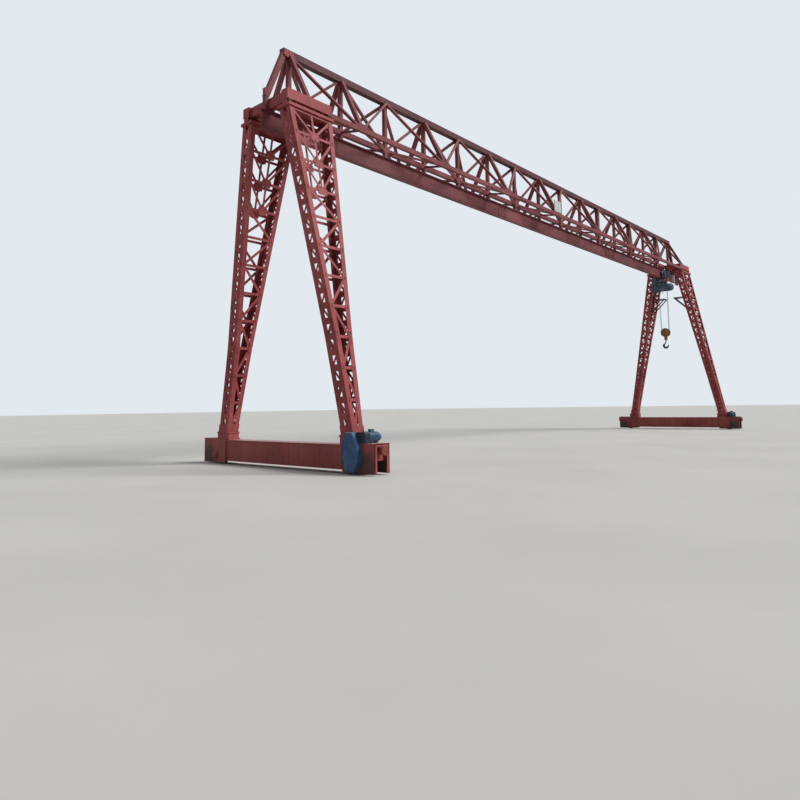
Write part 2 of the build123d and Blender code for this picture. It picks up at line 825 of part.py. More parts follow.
def make_trolley_carriage():
    """Side plates, flanged wheels on the track's lower flange and the yokes that carry the hoist."""
    wheel_z = track_bottom + track_flange_thickness + trolley_wheel_radius + trolley_running_gap
    half = trolley_plate_length / 2
    pieces = []
    for side in sides.values():
        inner, outer = side * trolley_plate_y, side * (trolley_plate_y + trolley_plate_thickness)
        pieces.append(block(*corners((hoist_x - half, inner, trolley_plate_bottom),
                                     (hoist_x + half, outer, trolley_plate_top))))
        for sign in (-1, 1):
            x = hoist_x + sign * trolley_wheel_inset
            tread_y = side * track_flange_width / 2
            back_y = tread_y - side * trolley_wheel_width
            pieces.append(rod((x, back_y, wheel_z), (x, tread_y, wheel_z), trolley_wheel_radius))
            pieces.append(rod((x, tread_y, wheel_z), (x, inner, wheel_z), trolley_hub_radius))
    half = yoke_width / 2
    for sign in (-1, 1):
        x = hoist_x + sign * trolley_wheel_inset
        pieces.append(block((x - half, -trolley_plate_y, yoke_bottom), (x + half, trolley_plate_y, yoke_top)))
    half_x, half_y = trolley_wheel_inset + half, bolster_width / 2
    pieces.append(block((hoist_x - half_x, -half_y, bolster_bottom), (hoist_x + half_x, half_y, yoke_bottom)))
    return fused(pieces)


def make_hoist_drum():
    """Drum between two flange discs, across the girder, with the frame that hangs from the bolster."""
    half = drum_length / 2
    x, z = hoist_x, hoist_axis_z
    pieces = [rod((x, -half, z), (x, half, z), drum_radius)]
    half_lug, half_width = hanger_lug_thickness / 2, hanger_lug_width / 2
    lug_y = half - drum_flange_width - hanger_lug_inset
    for sign in (-1, 1):
        end, inner = sign * half, sign * (half - drum_flange_width)
        pieces.append(rod((x, end, z), (x, inner, z), drum_flange_radius))
        y = sign * lug_y
        lug = block((x - half_width, y - half_lug, z), (x + half_width, y + half_lug, spreader_bottom))
        pieces.append(lug)
    half_x, half_y = bolster_width / 2, lug_y + half_lug
    pieces.append(block((x - half_x, -half_y, spreader_bottom), (x + half_x, half_y, bolster_bottom)))
    return fused(pieces)


def make_hoist_motor():
    start, end = -drum_length / 2, -drum_length / 2 - hoist_motor_length
    body = rod((hoist_x, start, hoist_axis_z), (hoist_x, end, hoist_axis_z), hoist_motor_radius)
    return chamfer(body.edges().sort_by(Axis.Y)[0], hoist_motor_chamfer)


def make_hoist_gearbox():
    start, half = drum_length / 2, hoist_gearbox_width / 2
    box = block((hoist_x - half, start, hoist_axis_z - half),
                (hoist_x + half, start + hoist_gearbox_length, hoist_axis_z + half))
    return fillet(box.edges().filter_by(Axis.Y), hoist_gearbox_fillet)


def make_control_box():
    """The electrical box that stands on the hoist's gearbox."""
    middle = drum_length / 2 + hoist_gearbox_length / 2
    half_x, half_y = control_box_width / 2, control_box_depth / 2
    low_z = hoist_axis_z + hoist_gearbox_width / 2
    return block((hoist_x - half_x, middle - half_y, low_z),
                 (hoist_x + half_x, middle + half_y, low_z + control_box_height))


def make_travel_motor():
    """The trolley's own motor, on the front side plate."""
    x = hoist_x - travel_motor_offset
    y = -trolley_plate_y - trolley_plate_thickness
    z = trolley_plate_bottom + travel_motor_rise
    return rod((x, y, z), (x, y - travel_motor_length, z), travel_motor_radius)


def make_hoist_ropes(drum):
    """Four falls of rope from the drum to the hook block's sheaves."""
    pieces = []
    for side in (-1, 1):
        x = hoist_x + side * rope_side_x
        for low_y, high_y in ((sheave_radius, rope_back_reach), (-sheave_radius, -rope_front_reach)):
            low = (x, low_y, block_centre_z)
            high = (x, high_y, hoist_axis_z - drum_radius / 2)
            pieces.append(trimmed(rod(low, high, rope_radius), drum))
    return pieces


def make_hook_block():
    """Two sheaves between rounded cheeks on one pin, over the neck that carries the hook."""
    x, z = hoist_x, block_centre_z
    half_x = rope_side_x + sheave_thickness / 2 + block_sheave_gap
    half_y = block_cheek_width / 2
    groove_radius = sheave_radius - rope_radius - rope_seat_gap
    pieces = []
    for side in (-1, 1):
        middle = x + side * rope_side_x
        low_x, high_x = middle - sheave_thickness / 2, middle + sheave_thickness / 2
        pieces.append(rod((low_x, 0, z), (high_x, 0, z), groove_radius))
        low = (x + side * half_x, -half_y, block_bottom)
        high = (x + side * (half_x + block_cheek_thickness), half_y, z + block_cheek_rise)
        cheek = block(*corners(low, high))
        pieces.append(fillet(cheek.edges().filter_by(Axis.X), block_cheek_fillet))
    reach = half_x + block_cheek_thickness + block_pin_reach
    pieces.append(rod((x - reach, 0, z), (x + reach, 0, z), block_pin_radius))
    half_y = crosshead_width / 2
    crosshead_top = block_bottom + crosshead_height
    pieces.append(block((x - half_x, -half_y, block_bottom), (x + half_x, half_y, crosshead_top)))
    neck = Plane(origin=(x, 0, block_neck_bottom)) * Circle(block_neck_radius)
    shoulder = Plane(origin=(x, 0, block_bottom)) * Circle(half_y)
    pieces.append(loft([neck.face(), shoulder.face()], ruled=True))
    bore_top = crosshead_top - shank_cover
    bore = rod((x, 0, block_neck_bottom), (x, 0, bore_top), hook_shank_radius + swivel_clearance)
    return fused(pieces) - bore


def make_lifting_hook():
    """A forged single hook that turns on its shank in the block's neck."""
    outer = hook_throat_radius + hook_body_width
    mid_radius = hook_throat_radius + hook_body_width / 2
    opening = Polygon((0, 0), (-outer, 0), (-outer, outer), (0, outer), align=None)
    crescent = Circle(outer) - Circle(hook_throat_radius) - opening
    beak = Pos(-mid_radius, 0) * Circle(hook_body_width / 2)
    neck_top = block_neck_bottom - hook_bowl_z - hook_collar_gap
    neck = Pos(0, (mid_radius + neck_top) / 2) * Rectangle(hook_body_width, neck_top - mid_radius)
    plane = Plane(origin=(hoist_x, 0, hook_bowl_z), x_dir=(0, 1, 0), z_dir=(1, 0, 0))
    body = extrude(plane * (crescent + beak + neck), hook_thickness / 2, both=True)
    shank_low = (hoist_x, 0, hook_bowl_z + mid_radius)
    shank_high = (hoist_x, 0, block_bottom + crosshead_height - shank_cover - hook_collar_gap)
    return fused([body, rod(shank_low, shank_high, hook_shank_radius)])


def make_cable_carrier():
    """The arm that holds the cable loops, on the inner edge of the far front leg's cap."""
    cap_edge_y = -(leg_top_y - leg_top_depth / 2 - cap_plate_edge)
    cap_middle_z = leg_top + cap_plate_thickness
    half = carrier_size / 2
    low_x = cable_start_x - carrier_overhang
    high_x = cable_end_x + carrier_overhang
    low_z, high_z = cap_middle_z - half, cap_middle_z + half
    pieces = [block((low_x, -cable_y - half, low_z), (high_x, -cable_y + half, high_z))]
    for x in (low_x + carrier_size, high_x - carrier_size):
        pieces.append(block((x - half, cap_edge_y, low_z), (x + half, -cable_y, high_z)))
    return fused(pieces)


def make_festoon_cable():
    """Loops of cable, bunched at the end of the track, that hang from the carrier arm."""
    top_z = leg_top + cap_plate_thickness - carrier_size / 2 - cable_radius - cable_seat_gap
    low_z = top_z - cable_loop_drop
    upper_z, lower_z = top_z - cable_bend_height, low_z + cable_bend_height
    eighth = cable_loop_pitch / 8
    points = []
    for i in range(cable_loop_count):
        x = cable_start_x + i * cable_loop_pitch
        bends = [(0, upper_z), (0, lower_z), (1, low_z), (3, low_z)]
        bends += [(4, lower_z), (4, upper_z), (5, top_z), (7, top_z)]
        points += [(x + eighth * count, -cable_y, z) for count, z in bends]
    path = Polyline(*points[:-2])
    start = Plane(origin=path @ 0, z_dir=path % 0)
    section = start * RegularPolygon(cable_radius, cable_sides)
    return sweep(section, path=path, transition=Transition.RIGHT)


def build_all():
    os.makedirs("parts", exist_ok=True)
    top_chord = make_top_chord()
    truss = make_centre_truss()
    side_chords = {name: make_side_chord(side) for name, side in sides.items()}
    heads = [make_head_frame(end) for end in ends.values()]
    write("top_chord", top_chord)
    write("centre_truss", truss)
    write("side_chords", list(side_chords.values()))
    write("head_frames", heads)
    write("track_beam", make_track_beam())
    write("end_braces", [make_end_brace(end, (top_chord, truss, *heads)) for end in ends.values()])
    write("track_stops", [stop for end in ends.values() for stop in make_track_stop(end)])
    for name, side in sides.items():
        around = (top_chord, truss, side_chords[name], *heads)
        side_bracing = make_side_bracing(side, around)
        write(f"{name}_side_bracing", side_bracing)
        write(f"{name}_deck_bracing", make_deck_bracing(side, (*around, *side_bracing)))
    caps, feet, housings, wheels = [], [], [], {}
    for end_name, end in ends.items():
        for side_name, side in sides.items():
            leg = f"{end_name}_{side_name}_leg"
            chords = [make_leg_chord(end, side, i, j) for i in (-1, 1) for j in (-1, 1)]
            write(f"{leg}_chords", chords)
            write(f"{leg}_wide_faces", [make_wide_face(end, side, sign) for sign in (-1, 1)])
            write(f"{leg}_narrow_faces", [make_narrow_face(end, side, sign) for sign in (-1, 1)])
            caps.append(make_leg_cap(end, side))
            foot = make_leg_foot(end, side)
            feet.append(foot)
            housings.append(make_wheel_housing(end, side, foot))
            write(f"{end_name}_{side_name}_wheel", make_rail_wheel(end, side))
    write("leg_caps", caps)
    write("leg_feet", feet)
    write("wheel_housings", housings)
    write("ground_beams", [make_ground_beam(end) for end in ends.values()])
    write("rail_buffers", [make_rail_buffer(end, side) for end in ends.values() for side in sides.values()])
    write("drive_covers", [make_drive_cover(end) for end in ends.values()])
    write("drive_gearboxes", [make_drive_gearbox(end) for end in ends.values()])
    write("drive_motors", [make_drive_motor(end) for end in ends.values()])
    write("platform_brackets", [make_platform_bracket(side) for side in sides.values()])
    write("trolley_carriage", make_trolley_carriage())
    drum = make_hoist_drum()
    write("hoist_drum", drum)
    write("hoist_motor", make_hoist_motor())
    write("hoist_gearbox", make_hoist_gearbox())
    write("hoist_control_box", make_control_box())
    write("trolley_travel_motor", make_travel_motor())
    write("hoist_ropes", make_hoist_ropes(drum))
    write("hook_block", make_hook_block())
    write("lifting_hook", make_lifting_hook())
    write("cable_carrier", make_cable_carrier())
    write("festoon_cable", make_festoon_cable())


build_all()
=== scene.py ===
import bpy
import bmesh
import math
from mathutils import Matrix, Vector


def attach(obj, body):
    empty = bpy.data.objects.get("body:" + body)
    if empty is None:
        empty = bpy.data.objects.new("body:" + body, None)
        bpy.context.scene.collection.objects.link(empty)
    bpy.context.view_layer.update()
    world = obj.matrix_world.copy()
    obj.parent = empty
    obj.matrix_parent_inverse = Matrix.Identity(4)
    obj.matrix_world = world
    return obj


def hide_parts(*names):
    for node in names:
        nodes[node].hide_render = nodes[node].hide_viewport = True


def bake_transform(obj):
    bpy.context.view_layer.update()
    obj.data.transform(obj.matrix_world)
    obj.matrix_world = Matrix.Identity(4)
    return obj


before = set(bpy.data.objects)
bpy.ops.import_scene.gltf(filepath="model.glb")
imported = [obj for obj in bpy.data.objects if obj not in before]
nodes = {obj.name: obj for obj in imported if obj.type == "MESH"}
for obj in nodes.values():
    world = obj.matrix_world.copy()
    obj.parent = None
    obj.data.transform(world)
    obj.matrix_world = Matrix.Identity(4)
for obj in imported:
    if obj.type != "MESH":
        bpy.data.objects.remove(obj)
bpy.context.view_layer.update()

# The crane's own sizes in metres, as the CAD has them: X along the girder, Y along the rails, Z up.
crane = {
    "frameX": 15.0,  # middle of each leg frame
    "panelLength": 1.994667, "panelCount": 15, "firstNodeX": -14.96,
    "topChordHalf": 0.095, "sideChordOuter": 0.98, "sideChordTop": 9.745,
    "headTop": 9.945, "headHalfY": 0.98, "capTop": 9.536,
    "legFoot": 0.9, "legKnee": 3.3045, "legTop": 9.46, "legFootY": 2.59, "legTopY": 0.815,
    "rungRise": 0.07, "rungPitch": 0.778182,
    "wheelY": 2.9, "wheelZ": 0.272,
    "driveAxisZ": 0.87, "driveMotorY": -3.0855,
    "hoistX": 13.85, "hoistZ": 8.515,
    "blockZ": 5.78, "hookZ": 5.01,
}
ends = {"near": -1, "far": 1}
sides = {"front": -1, "back": 1}
endPlaces = [(end,) for end in ends.values()]
cornerPlaces = [(end, side) for end in ends.values() for side in sides.values()]


# Mesh code: shapes are gathered in a store and become one mesh.

def newStore():
    return {"points": [], "faces": []}


def addFaces(store, points, faces):
    base = len(store["points"])
    store["points"].extend(tuple(point) for point in points)
    store["faces"].extend(tuple(base + i for i in face) for face in faces)


def axesFor(normal):
    n = Vector(normal).normalized()
    up = Vector((0, 0, 1))
    if abs(n.z) > 0.97:
        up = Vector((1, 0, 0))
    u = up.cross(n).normalized()
    return u, n.cross(u), n


def ringPoints(centre, u, v, radius, steps):
    spots = []
    for k in range(steps):
        angle = 2 * math.pi * k / steps
        spots.append(centre + (u * math.cos(angle) + v * math.sin(angle)) * radius)
    return spots


def ringFaces(rings, steps):
    # the skin over rings of points, with a cap at both ends
    faces = []
    for ring in range(rings - 1):
        for k in range(steps):
            a, b = ring * steps + k, ring * steps + (k + 1) % steps
            faces.append((a, b, b + steps, a + steps))
    faces.append(tuple(reversed(range(steps))))
    faces.append(tuple(range((rings - 1) * steps, rings * steps)))
    return faces


def addLathe(store, origin, normal, profile, steps=24):
    # turned shape; the profile has (distance along the normal, radius)
    u, v, n = axesFor(normal)
    points = []
    for along, radius in profile:
        points += ringPoints(Vector(origin) + n * along, u, v, radius, steps)
    addFaces(store, points, ringFaces(len(profile), steps))


def addBlock(store, low, high, edge=0.004):
    # block between any two opposite corners, its edges broken by a chamfer
    low, high = [min(pair) for pair in zip(low, high)], [max(pair) for pair in zip(low, high)]
    centre = [(a + b) / 2 for a, b in zip(low, high)]
    half = [(b - a) / 2 for a, b in zip(low, high)]
    edge = min(edge, 0.45 * min(half))
    signs = [(i, j, k) for i in (-1, 1) for j in (-1, 1) for k in (-1, 1)]
    index, points = {}, []
    for sign in signs:
        for axis in range(3):
            spot = [centre[m] + sign[m] * (half[m] - (0 if m == axis else edge)) for m in range(3)]
            index[(sign, axis)] = len(points)
            points.append(Vector(spot))

    def signAt(axis, s, t, w):
        sign = [t, w]
        sign.insert(axis, s)
        return tuple(sign)

    faces = []
    for axis in range(3):
        for s in (-1, 1):
            loop = [signAt(axis, s, t, w) for t, w in rectangle(-1, -1, 1, 1)]
            faces.append([index[(sign, axis)] for sign in loop])
    for axis in range(3):
        b, c = [m for m in range(3) if m != axis]
        for t in (-1, 1):
            for w in (-1, 1):
                first, last = signAt(axis, -1, t, w), signAt(axis, 1, t, w)
                faces.append([index[(first, b)], index[(last, b)], index[(last, c)], index[(first, c)]])
    for sign in signs:
        faces.append([index[(sign, 0)], index[(sign, 1)], index[(sign, 2)]])
    addFaces(store, points, faces)


def rectangle(lowU, lowV, highU, highV):
    return [(lowU, lowV), (highU, lowV), (highU, highV), (lowU, highV)]


def roundedOutline(halfU, halfV, corner, steps=6):
    # rectangle with rounded corners, as (u, v) points
    outline = []
    for cu, cv, start in ((1, 1, 0), (-1, 1, 90), (-1, -1, 180), (1, -1, 270)):
        for k in range(steps + 1):
            angle = math.radians(start + 90 * k / steps)
            outline.append((cu * (halfU - corner) + corner * math.cos(angle),
                            cv * (halfV - corner) + corner * math.sin(angle)))
    return outline


def addPlate(store, outline, origin, u, v, thickness):
    # flat plate from (u, v) points; it stands on their plane and grows along u x v
    origin, u, v = Vector(origin), Vector(u), Vector(v)
    n = u.cross(v).normalized()
    count = len(outline)
    points = [origin + u * a + v * b + n * h for h in (0, thickness) for a, b in outline]
    faces = [tuple(reversed(range(count))), tuple(range(count, 2 * count))]
    faces += [(k, (k + 1) % count, count + (k + 1) % count, count + k) for k in range(count)]
    addFaces(store, points, faces)


def addTube(store, path, radius, sidesRound=8):
    path = [Vector(p) for p in path]
    u, v, _ = axesFor(path[1] - path[0])
    points = []
    for k, spot in enumerate(path):
        ahead = (path[min(k + 1, len(path) - 1)] - path[max(k - 1, 0)]).normalized()
        u = (u - ahead * u.dot(ahead)).normalized()
        v = ahead.cross(u)
        points += ringPoints(spot, u, v, radius, sidesRound)
    addFaces(store, points, ringFaces(len(path), sidesRound))


def addRing(store, origin, normal, outer, inner, thickness, steps=32):
    # flat ring, its hole left open
    u, v, n = axesFor(normal)
    points = []
    for along, radius in ((0, inner), (0, outer), (thickness, outer), (thickness, inner)):
        points += ringPoints(Vector(origin) + n * along, u, v, radius, steps)
    faces = []
    for ring in range(4):
        after = (ring + 1) % 4
        for k in range(steps):
            m = (k + 1) % steps
            faces.append((ring * steps + k, ring * steps + m, after * steps + m, after * steps + k))
    addFaces(store, points, faces)


def addShell(store, origin, normal, radius, thickness, length, start, end, steps):
    # curved sheet round an axis, from one angle to another; 90 degrees is on top
    u, v, n = axesFor(normal)
    origin, outer = Vector(origin), radius + thickness
    points = []
    for k in range(steps + 1):
        angle = math.radians(start + (end - start) * k / steps)
        out = u * math.cos(angle) + v * math.sin(angle)
        for along, r in ((0, radius), (0, outer), (length, outer), (length, radius)):
            points.append(origin + n * along + out * r)
    addFaces(store, points, ringFaces(steps + 1, 4))


def addFins(store, origin, normal, radius, height, length, count, thickness=0.006):
    # cooling fins along a round housing, spread evenly round it; their feet sink into it
    u, v, n = axesFor(normal)
    sunk, slope = 0.004, 0.01
    outline = [(0, 0), (length, 0), (length - slope, height + sunk), (slope, height + sunk)]
    for k in range(count):
        angle = 2 * math.pi * (k + 0.5) / count
        out = u * math.cos(angle) + v * math.sin(angle)
        base = Vector(origin) + out * (radius - sunk) - n.cross(out) * thickness / 2
        addPlate(store, outline, base, n, out, thickness)


def addSweep(store, path, widths, depths, flat, sidesRound=16, fat=0.16, roundness=0.8):
    # forged bar: rounded sections along a flat path, a little fatter on the inner side of the bend
    path = [Vector(p) for p in path]
    flat = Vector(flat).normalized()
    points = []
    for k, spot in enumerate(path):
        ahead = (path[min(k + 1, len(path) - 1)] - path[max(k - 1, 0)]).normalized()
        across = ahead.cross(flat)
        for j in range(sidesRound):
            angle = 2 * math.pi * j / sidesRound
            shares = (math.cos(angle), math.sin(angle))
            a, b = (math.copysign(abs(share) ** roundness, share) for share in shares)
            depth = depths[k] / 2 * b * (1 + fat * a)
            points.append(spot + across * (a * widths[k] / 2) + flat * depth)
    addFaces(store, points, ringFaces(len(path), sidesRound))


# Shares of the bolt's radius, apart from headFoot, washerThick and washerSunk, which are metres
boltShape = {
    "headHeight": 0.8, "headDome": 0.15, "domeRadius": 0.86, "headFoot": 0.003,
    "washerRadius": 1.3, "washerThick": 0.006, "washerSunk": 0.002,
    "studRadius": 0.5, "studTip": 0.44, "studRise": 0.5,
}


def addBolt(store, spot, normal, radius=0.018, stud=True):
    # hexagon head on its washer, with the end of the stud
    shape = boltShape
    spot, n = Vector(spot), Vector(normal).normalized()
    washer, height = radius * shape["washerRadius"], radius * shape["headHeight"]
    addLathe(store, spot - n * shape["washerSunk"], n, [(0, washer), (shape["washerThick"], washer)], 12)
    addLathe(store, spot, n, [(shape["headFoot"], radius), (height, radius),
                              (height + shape["headDome"] * radius, radius * shape["domeRadius"])], 6)
    if stud:
        addLathe(store, spot, n, [(height, radius * shape["studRadius"]),
                                  (height + radius * shape["studRise"], radius * shape["studTip"])], 8)


def spotsRound(centre, normal, radius, count, start=0.5):
    # points evenly round an axis along X or Y; start is the first point's share of a step
    x, y, z = centre
    spots = []
    for k in range(count):
        angle = 2 * math.pi * (k + start) / count
        a, b = radius * math.cos(angle), radius * math.sin(angle)
        spots.append((x, y + a, z + b) if normal[0] else (x + a, y, z + b))
    return spots


def addBolts(store, spots, normal, radius, stud=True):
    for spot in spots:
        addBolt(store, spot, normal, radius, stud)


def makePiece(store, name, material, body, smooth):
    mesh = bpy.data.meshes.new(name)
    mesh.from_pydata([tuple(p) for p in store["points"]], [], store["faces"])
    work = bmesh.new()
    work.from_mesh(mesh)
    bmesh.ops.recalc_face_normals(work, faces=work.faces)
    work.to_mesh(mesh)
    work.free()
    mesh.polygons.foreach_set("use_smooth", [True] * len(mesh.polygons))
    mesh.set_sharp_from_angle(angle=math.radians(smooth))
    mesh.materials.append(material)
    piece = bpy.data.objects.new(name, mesh)
    bpy.context.scene.collection.objects.link(piece)
    if body:
        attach(piece, body)
    return piece


def buildPiece(maker, name, material, body, places=((),), smooth=35):
    # the maker runs once for each place, and all of it is one piece
    store = newStore()
    for place in places:
        maker(store, *place)
    return makePiece(store, name, material, body, smooth)


# Materials

def newMaterial(name):
    material = bpy.data.materials.new(name)
    material.use_nodes = True
    tree = material.node_tree
    return material, tree, tree.nodes["Principled BSDF"]


def link(tree, start, end):
    tree.links.new(start, end)


def objectCoords(tree):
    return tree.nodes.new("ShaderNodeTexCoord").outputs["Object"]


def stretched(tree, coords, scale):
    mapping = tree.nodes.new("ShaderNodeMapping")
    mapping.inputs["Scale"].default_value = scale
    link(tree, coords, mapping.inputs["Vector"])
    return mapping.outputs["Vector"]


def noise(tree, coords, scale, detail, rough=0.55):
    made = tree.nodes.new("ShaderNodeTexNoise")
    made.inputs["Scale"].default_value = scale
    made.inputs["Detail"].default_value = detail
    made.inputs["Roughness"].default_value = rough
    link(tree, coords, made.inputs["Vector"])
    return made.outputs["Fac"]


def ramp(tree, factor, stops):
    # each stop is a place with a colour, or with one number for a grey
    made = tree.nodes.new("ShaderNodeValToRGB")
    elements = made.color_ramp.elements
    while len(elements) < len(stops):
        elements.new(0.5)
    for element, (place, colour) in zip(elements, stops):
        element.position = place
        element.color = (*colour, 1.0) if isinstance(colour, tuple) else (colour, colour, colour, 1.0)
    link(tree, factor, made.inputs["Fac"])
    return made.outputs["Color"]


def mixed(tree, factor, first, colour):
    # the first where the factor is 0, the plain colour where it is 1
    made = tree.nodes.new("ShaderNodeMix")
    made.data_type = "RGBA"
    link(tree, factor, made.inputs[0])
    link(tree, first, made.inputs[6])
    made.inputs[7].default_value = (*colour, 1.0)
    return made.outputs[2]


def maths(tree, kind, first, second=0.0):
    made = tree.nodes.new("ShaderNodeMath")
    made.operation = kind
    link(tree, first, made.inputs[0])
    if isinstance(second, (int, float)):
        made.inputs[1].default_value = second
    else:
        link(tree, second, made.inputs[1])
    return made.outputs[0]


def blended(tree, first, share, second, other):
    return maths(tree, "ADD", maths(tree, "MULTIPLY", first, share), maths(tree, "MULTIPLY", second, other))


def addBump(tree, shader, height, strength, depth):
    bump = tree.nodes.new("ShaderNodeBump")
    bump.inputs["Strength"].default_value = strength
    bump.inputs["Distance"].default_value = depth
    link(tree, height, bump.inputs["Height"])
    link(tree, bump.outputs["Normal"], shader.inputs["Normal"])


def wheelShadeAndGrease(tree, coords, split, middle, shadeAndGrease):
    # dark patch on the cheeks that face along the girder, round the wheel's place given in the look: painted
    # shade of the recess by the wheel, and grease
    place = tree.nodes.new("ShaderNodeSeparateXYZ")
    link(tree, coords, place.inputs[0])
    y = maths(tree, "SUBTRACT", maths(tree, "ABSOLUTE", place.outputs[1]), shadeAndGrease["y"])
    z = maths(tree, "SUBTRACT", place.outputs[2], shadeAndGrease["z"])
    away = maths(tree, "SQRT", blended(tree, y, y, z, z))
    ragged = maths(tree, "ADD", away, maths(tree, "MULTIPLY", middle, shadeAndGrease["ragged"]))
    patch = ramp(tree, ragged, [(shadeAndGrease["radius"], shadeAndGrease["amount"]), (shadeAndGrease["radius"] + shadeAndGrease["fade"], 0.0)])
    return maths(tree, "MULTIPLY", patch, maths(tree, "ABSOLUTE", split.outputs[0]))


# What a finish has unless its own look says otherwise; scales are per metre
plainLook = {
    "metallic": 0.0, "specular": 0.22, "roughness": (0.42, 0.7), "roughStops": (0.35, 0.65),
    "broadScale": 0.8, "middleScale": 7, "fineScale": 90, "fadeStops": (0.38, 0.5, 0.64),
    "grimeAmount": 0.35, "grimeStops": (0.46, 0.68), "streakStretch": (9, 9, 0.7),
    "dustAmount": 0.45, "dustStops": (0.35, 0.95),
    "rustAmount": 0.7, "rustFrom": 0.6, "rustFade": 0.05,
    "bump": 0.35, "bumpDepth": 0.004,
}


def surfaceMaterial(name, ownLook):
    # painted or bare metal with broad fading, streaks, dirt, rust spots and dust on what faces up, and on the
    # housings a dark patch round the wheels that is painted shade and grease
    look = {**plainLook, **ownLook}
    material, tree, shader = newMaterial(name)
    shader.inputs["Metallic"].default_value = look["metallic"]
    shader.inputs["Specular IOR Level"].default_value = look["specular"]
    coords = objectCoords(tree)
    broad = noise(tree, coords, look["broadScale"], 6)
    middle = noise(tree, coords, look["middleScale"], 8, 0.62)
    fine = noise(tree, coords, look["fineScale"], 4)
    tones = list(zip(look["fadeStops"], (look["deep"], look["base"], look["faded"])))
    colour = ramp(tree, blended(tree, broad, 0.6, middle, 0.4), tones)
    streaks = noise(tree, stretched(tree, coords, look["streakStretch"]), 1.0, 6, 0.6)
    grime = ramp(tree, streaks, list(zip(look["grimeStops"], (0.0, look["grimeAmount"]))))
    colour = mixed(tree, grime, colour, look["grime"])
    split = tree.nodes.new("ShaderNodeSeparateXYZ")
    link(tree, tree.nodes.new("ShaderNodeNewGeometry").outputs["Normal"], split.inputs[0])
    facing = ramp(tree, split.outputs[2], list(zip(look["dustStops"], (0.0, look["dustAmount"]))))
    dust = maths(tree, "MULTIPLY", facing, maths(tree, "ADD", middle, 0.35))
    colour = mixed(tree, dust, colour, look["dust"])
    worn = blended(tree, middle, 0.55, fine, 0.45)
    low = look["rustFrom"]
    rust = ramp(tree, worn, [(low, 0.0), (low + look["rustFade"], look["rustAmount"])])
    colour = mixed(tree, rust, colour, look["rust"])
    # painted shade with grease round the wheels, on the housings
    if "shadeAndGrease" in look:
        colour = mixed(tree, wheelShadeAndGrease(tree, coords, split, middle, look["shadeAndGrease"]), colour, look["grime"])
    link(tree, colour, shader.inputs["Base Color"])
    rough = ramp(tree, maths(tree, "MAXIMUM", worn, rust), list(zip(look["roughStops"], look["roughness"])))
    link(tree, rough, shader.inputs["Roughness"])
    height = maths(tree, "ADD", fine, maths(tree, "MULTIPLY", rust, -0.5))  # rust eats into the paint
    addBump(tree, shader, height, look["bump"], look["bumpDepth"])
    return material


redLook = {
    "base": (0.300, 0.056, 0.056), "deep": (0.215, 0.034, 0.036), "faded": (0.360, 0.092, 0.090),
    "grime": (0.105, 0.030, 0.034), "rust": (0.150, 0.052, 0.034), "dust": (0.420, 0.270, 0.240),
    "grimeAmount": 0.38, "rustAmount": 0.6, "roughness": (0.42, 0.68),
}
paintRed = surfaceMaterial("paintRed", redLook)

# darker red on the girder's members than on the legs and heads: painted shade
shadedGirderLook = {
    **redLook,
    "base": (0.190, 0.042, 0.046), "deep": (0.120, 0.026, 0.031), "faded": (0.260, 0.078, 0.080),
    "grimeAmount": 0.55, "rustAmount": 0.7, "roughness": (0.45, 0.75),
}
paintGirderShaded = surfaceMaterial("paintGirderShaded", shadedGirderLook)

# the top chord's red is darker still: painted shade of its web under the top flange
shadedChordLook = {
    **shadedGirderLook,
    "base": (0.080, 0.020, 0.026), "deep": (0.054, 0.014, 0.019), "faded": (0.115, 0.034, 0.040),
    "dustAmount": 0.4,
}
paintChordShaded = surfaceMaterial("paintChordShaded", shadedChordLook)

# darker red on the track beam, its stops and its plates: painted shade of the web under the deck and the
# flange; its streaks and rust are dirt
shadedTrackLook = {
    **redLook,
    "base": (0.170, 0.042, 0.045), "deep": (0.110, 0.028, 0.032), "faded": (0.230, 0.070, 0.070),
    "grimeAmount": 0.6, "broadScale": 0.45, "streakStretch": (2.4, 2.4, 1.2), "rustAmount": 0.8,
}
paintTrackShaded = surfaceMaterial("paintTrackShaded", shadedTrackLook)

bracketLook = {
    **shadedGirderLook,
    "base": (0.095, 0.046, 0.046), "deep": (0.062, 0.033, 0.035), "faded": (0.135, 0.072, 0.070),
}
paintBracket = surfaceMaterial("paintBracket", bracketLook)

beamLook = {
    **redLook,
    "base": (0.290, 0.062, 0.054), "deep": (0.200, 0.042, 0.038), "faded": (0.350, 0.096, 0.080),
    "grimeAmount": 0.5, "dustAmount": 0.75, "rustFrom": 0.57, "rustAmount": 0.8,
}
paintBeam = surfaceMaterial("paintBeam", beamLook)

housingLook = {
    **beamLook,
    "grime": (0.050, 0.034, 0.028),
    # dark patch round each wheel on the cheeks that face along the girder, in the grime colour above: painted
    # shade of the recess by the wheel, and grease
    "shadeAndGrease": {"y": 3.24, "z": 0.20, "radius": 0.30, "fade": 0.22, "ragged": 0.20, "amount": 0.85},
}
paintHousing = surfaceMaterial("paintHousing", housingLook)

blueLook = {
    "base": (0.032, 0.080, 0.175), "deep": (0.020, 0.050, 0.120), "faded": (0.075, 0.150, 0.265),
    "grime": (0.026, 0.036, 0.055), "rust": (0.120, 0.060, 0.040), "dust": (0.330, 0.400, 0.440),
    "grimeAmount": 0.45, "dustAmount": 0.75, "rustFrom": 0.61, "roughness": (0.38, 0.62),
}
paintBlue = surfaceMaterial("paintBlue", blueLook)

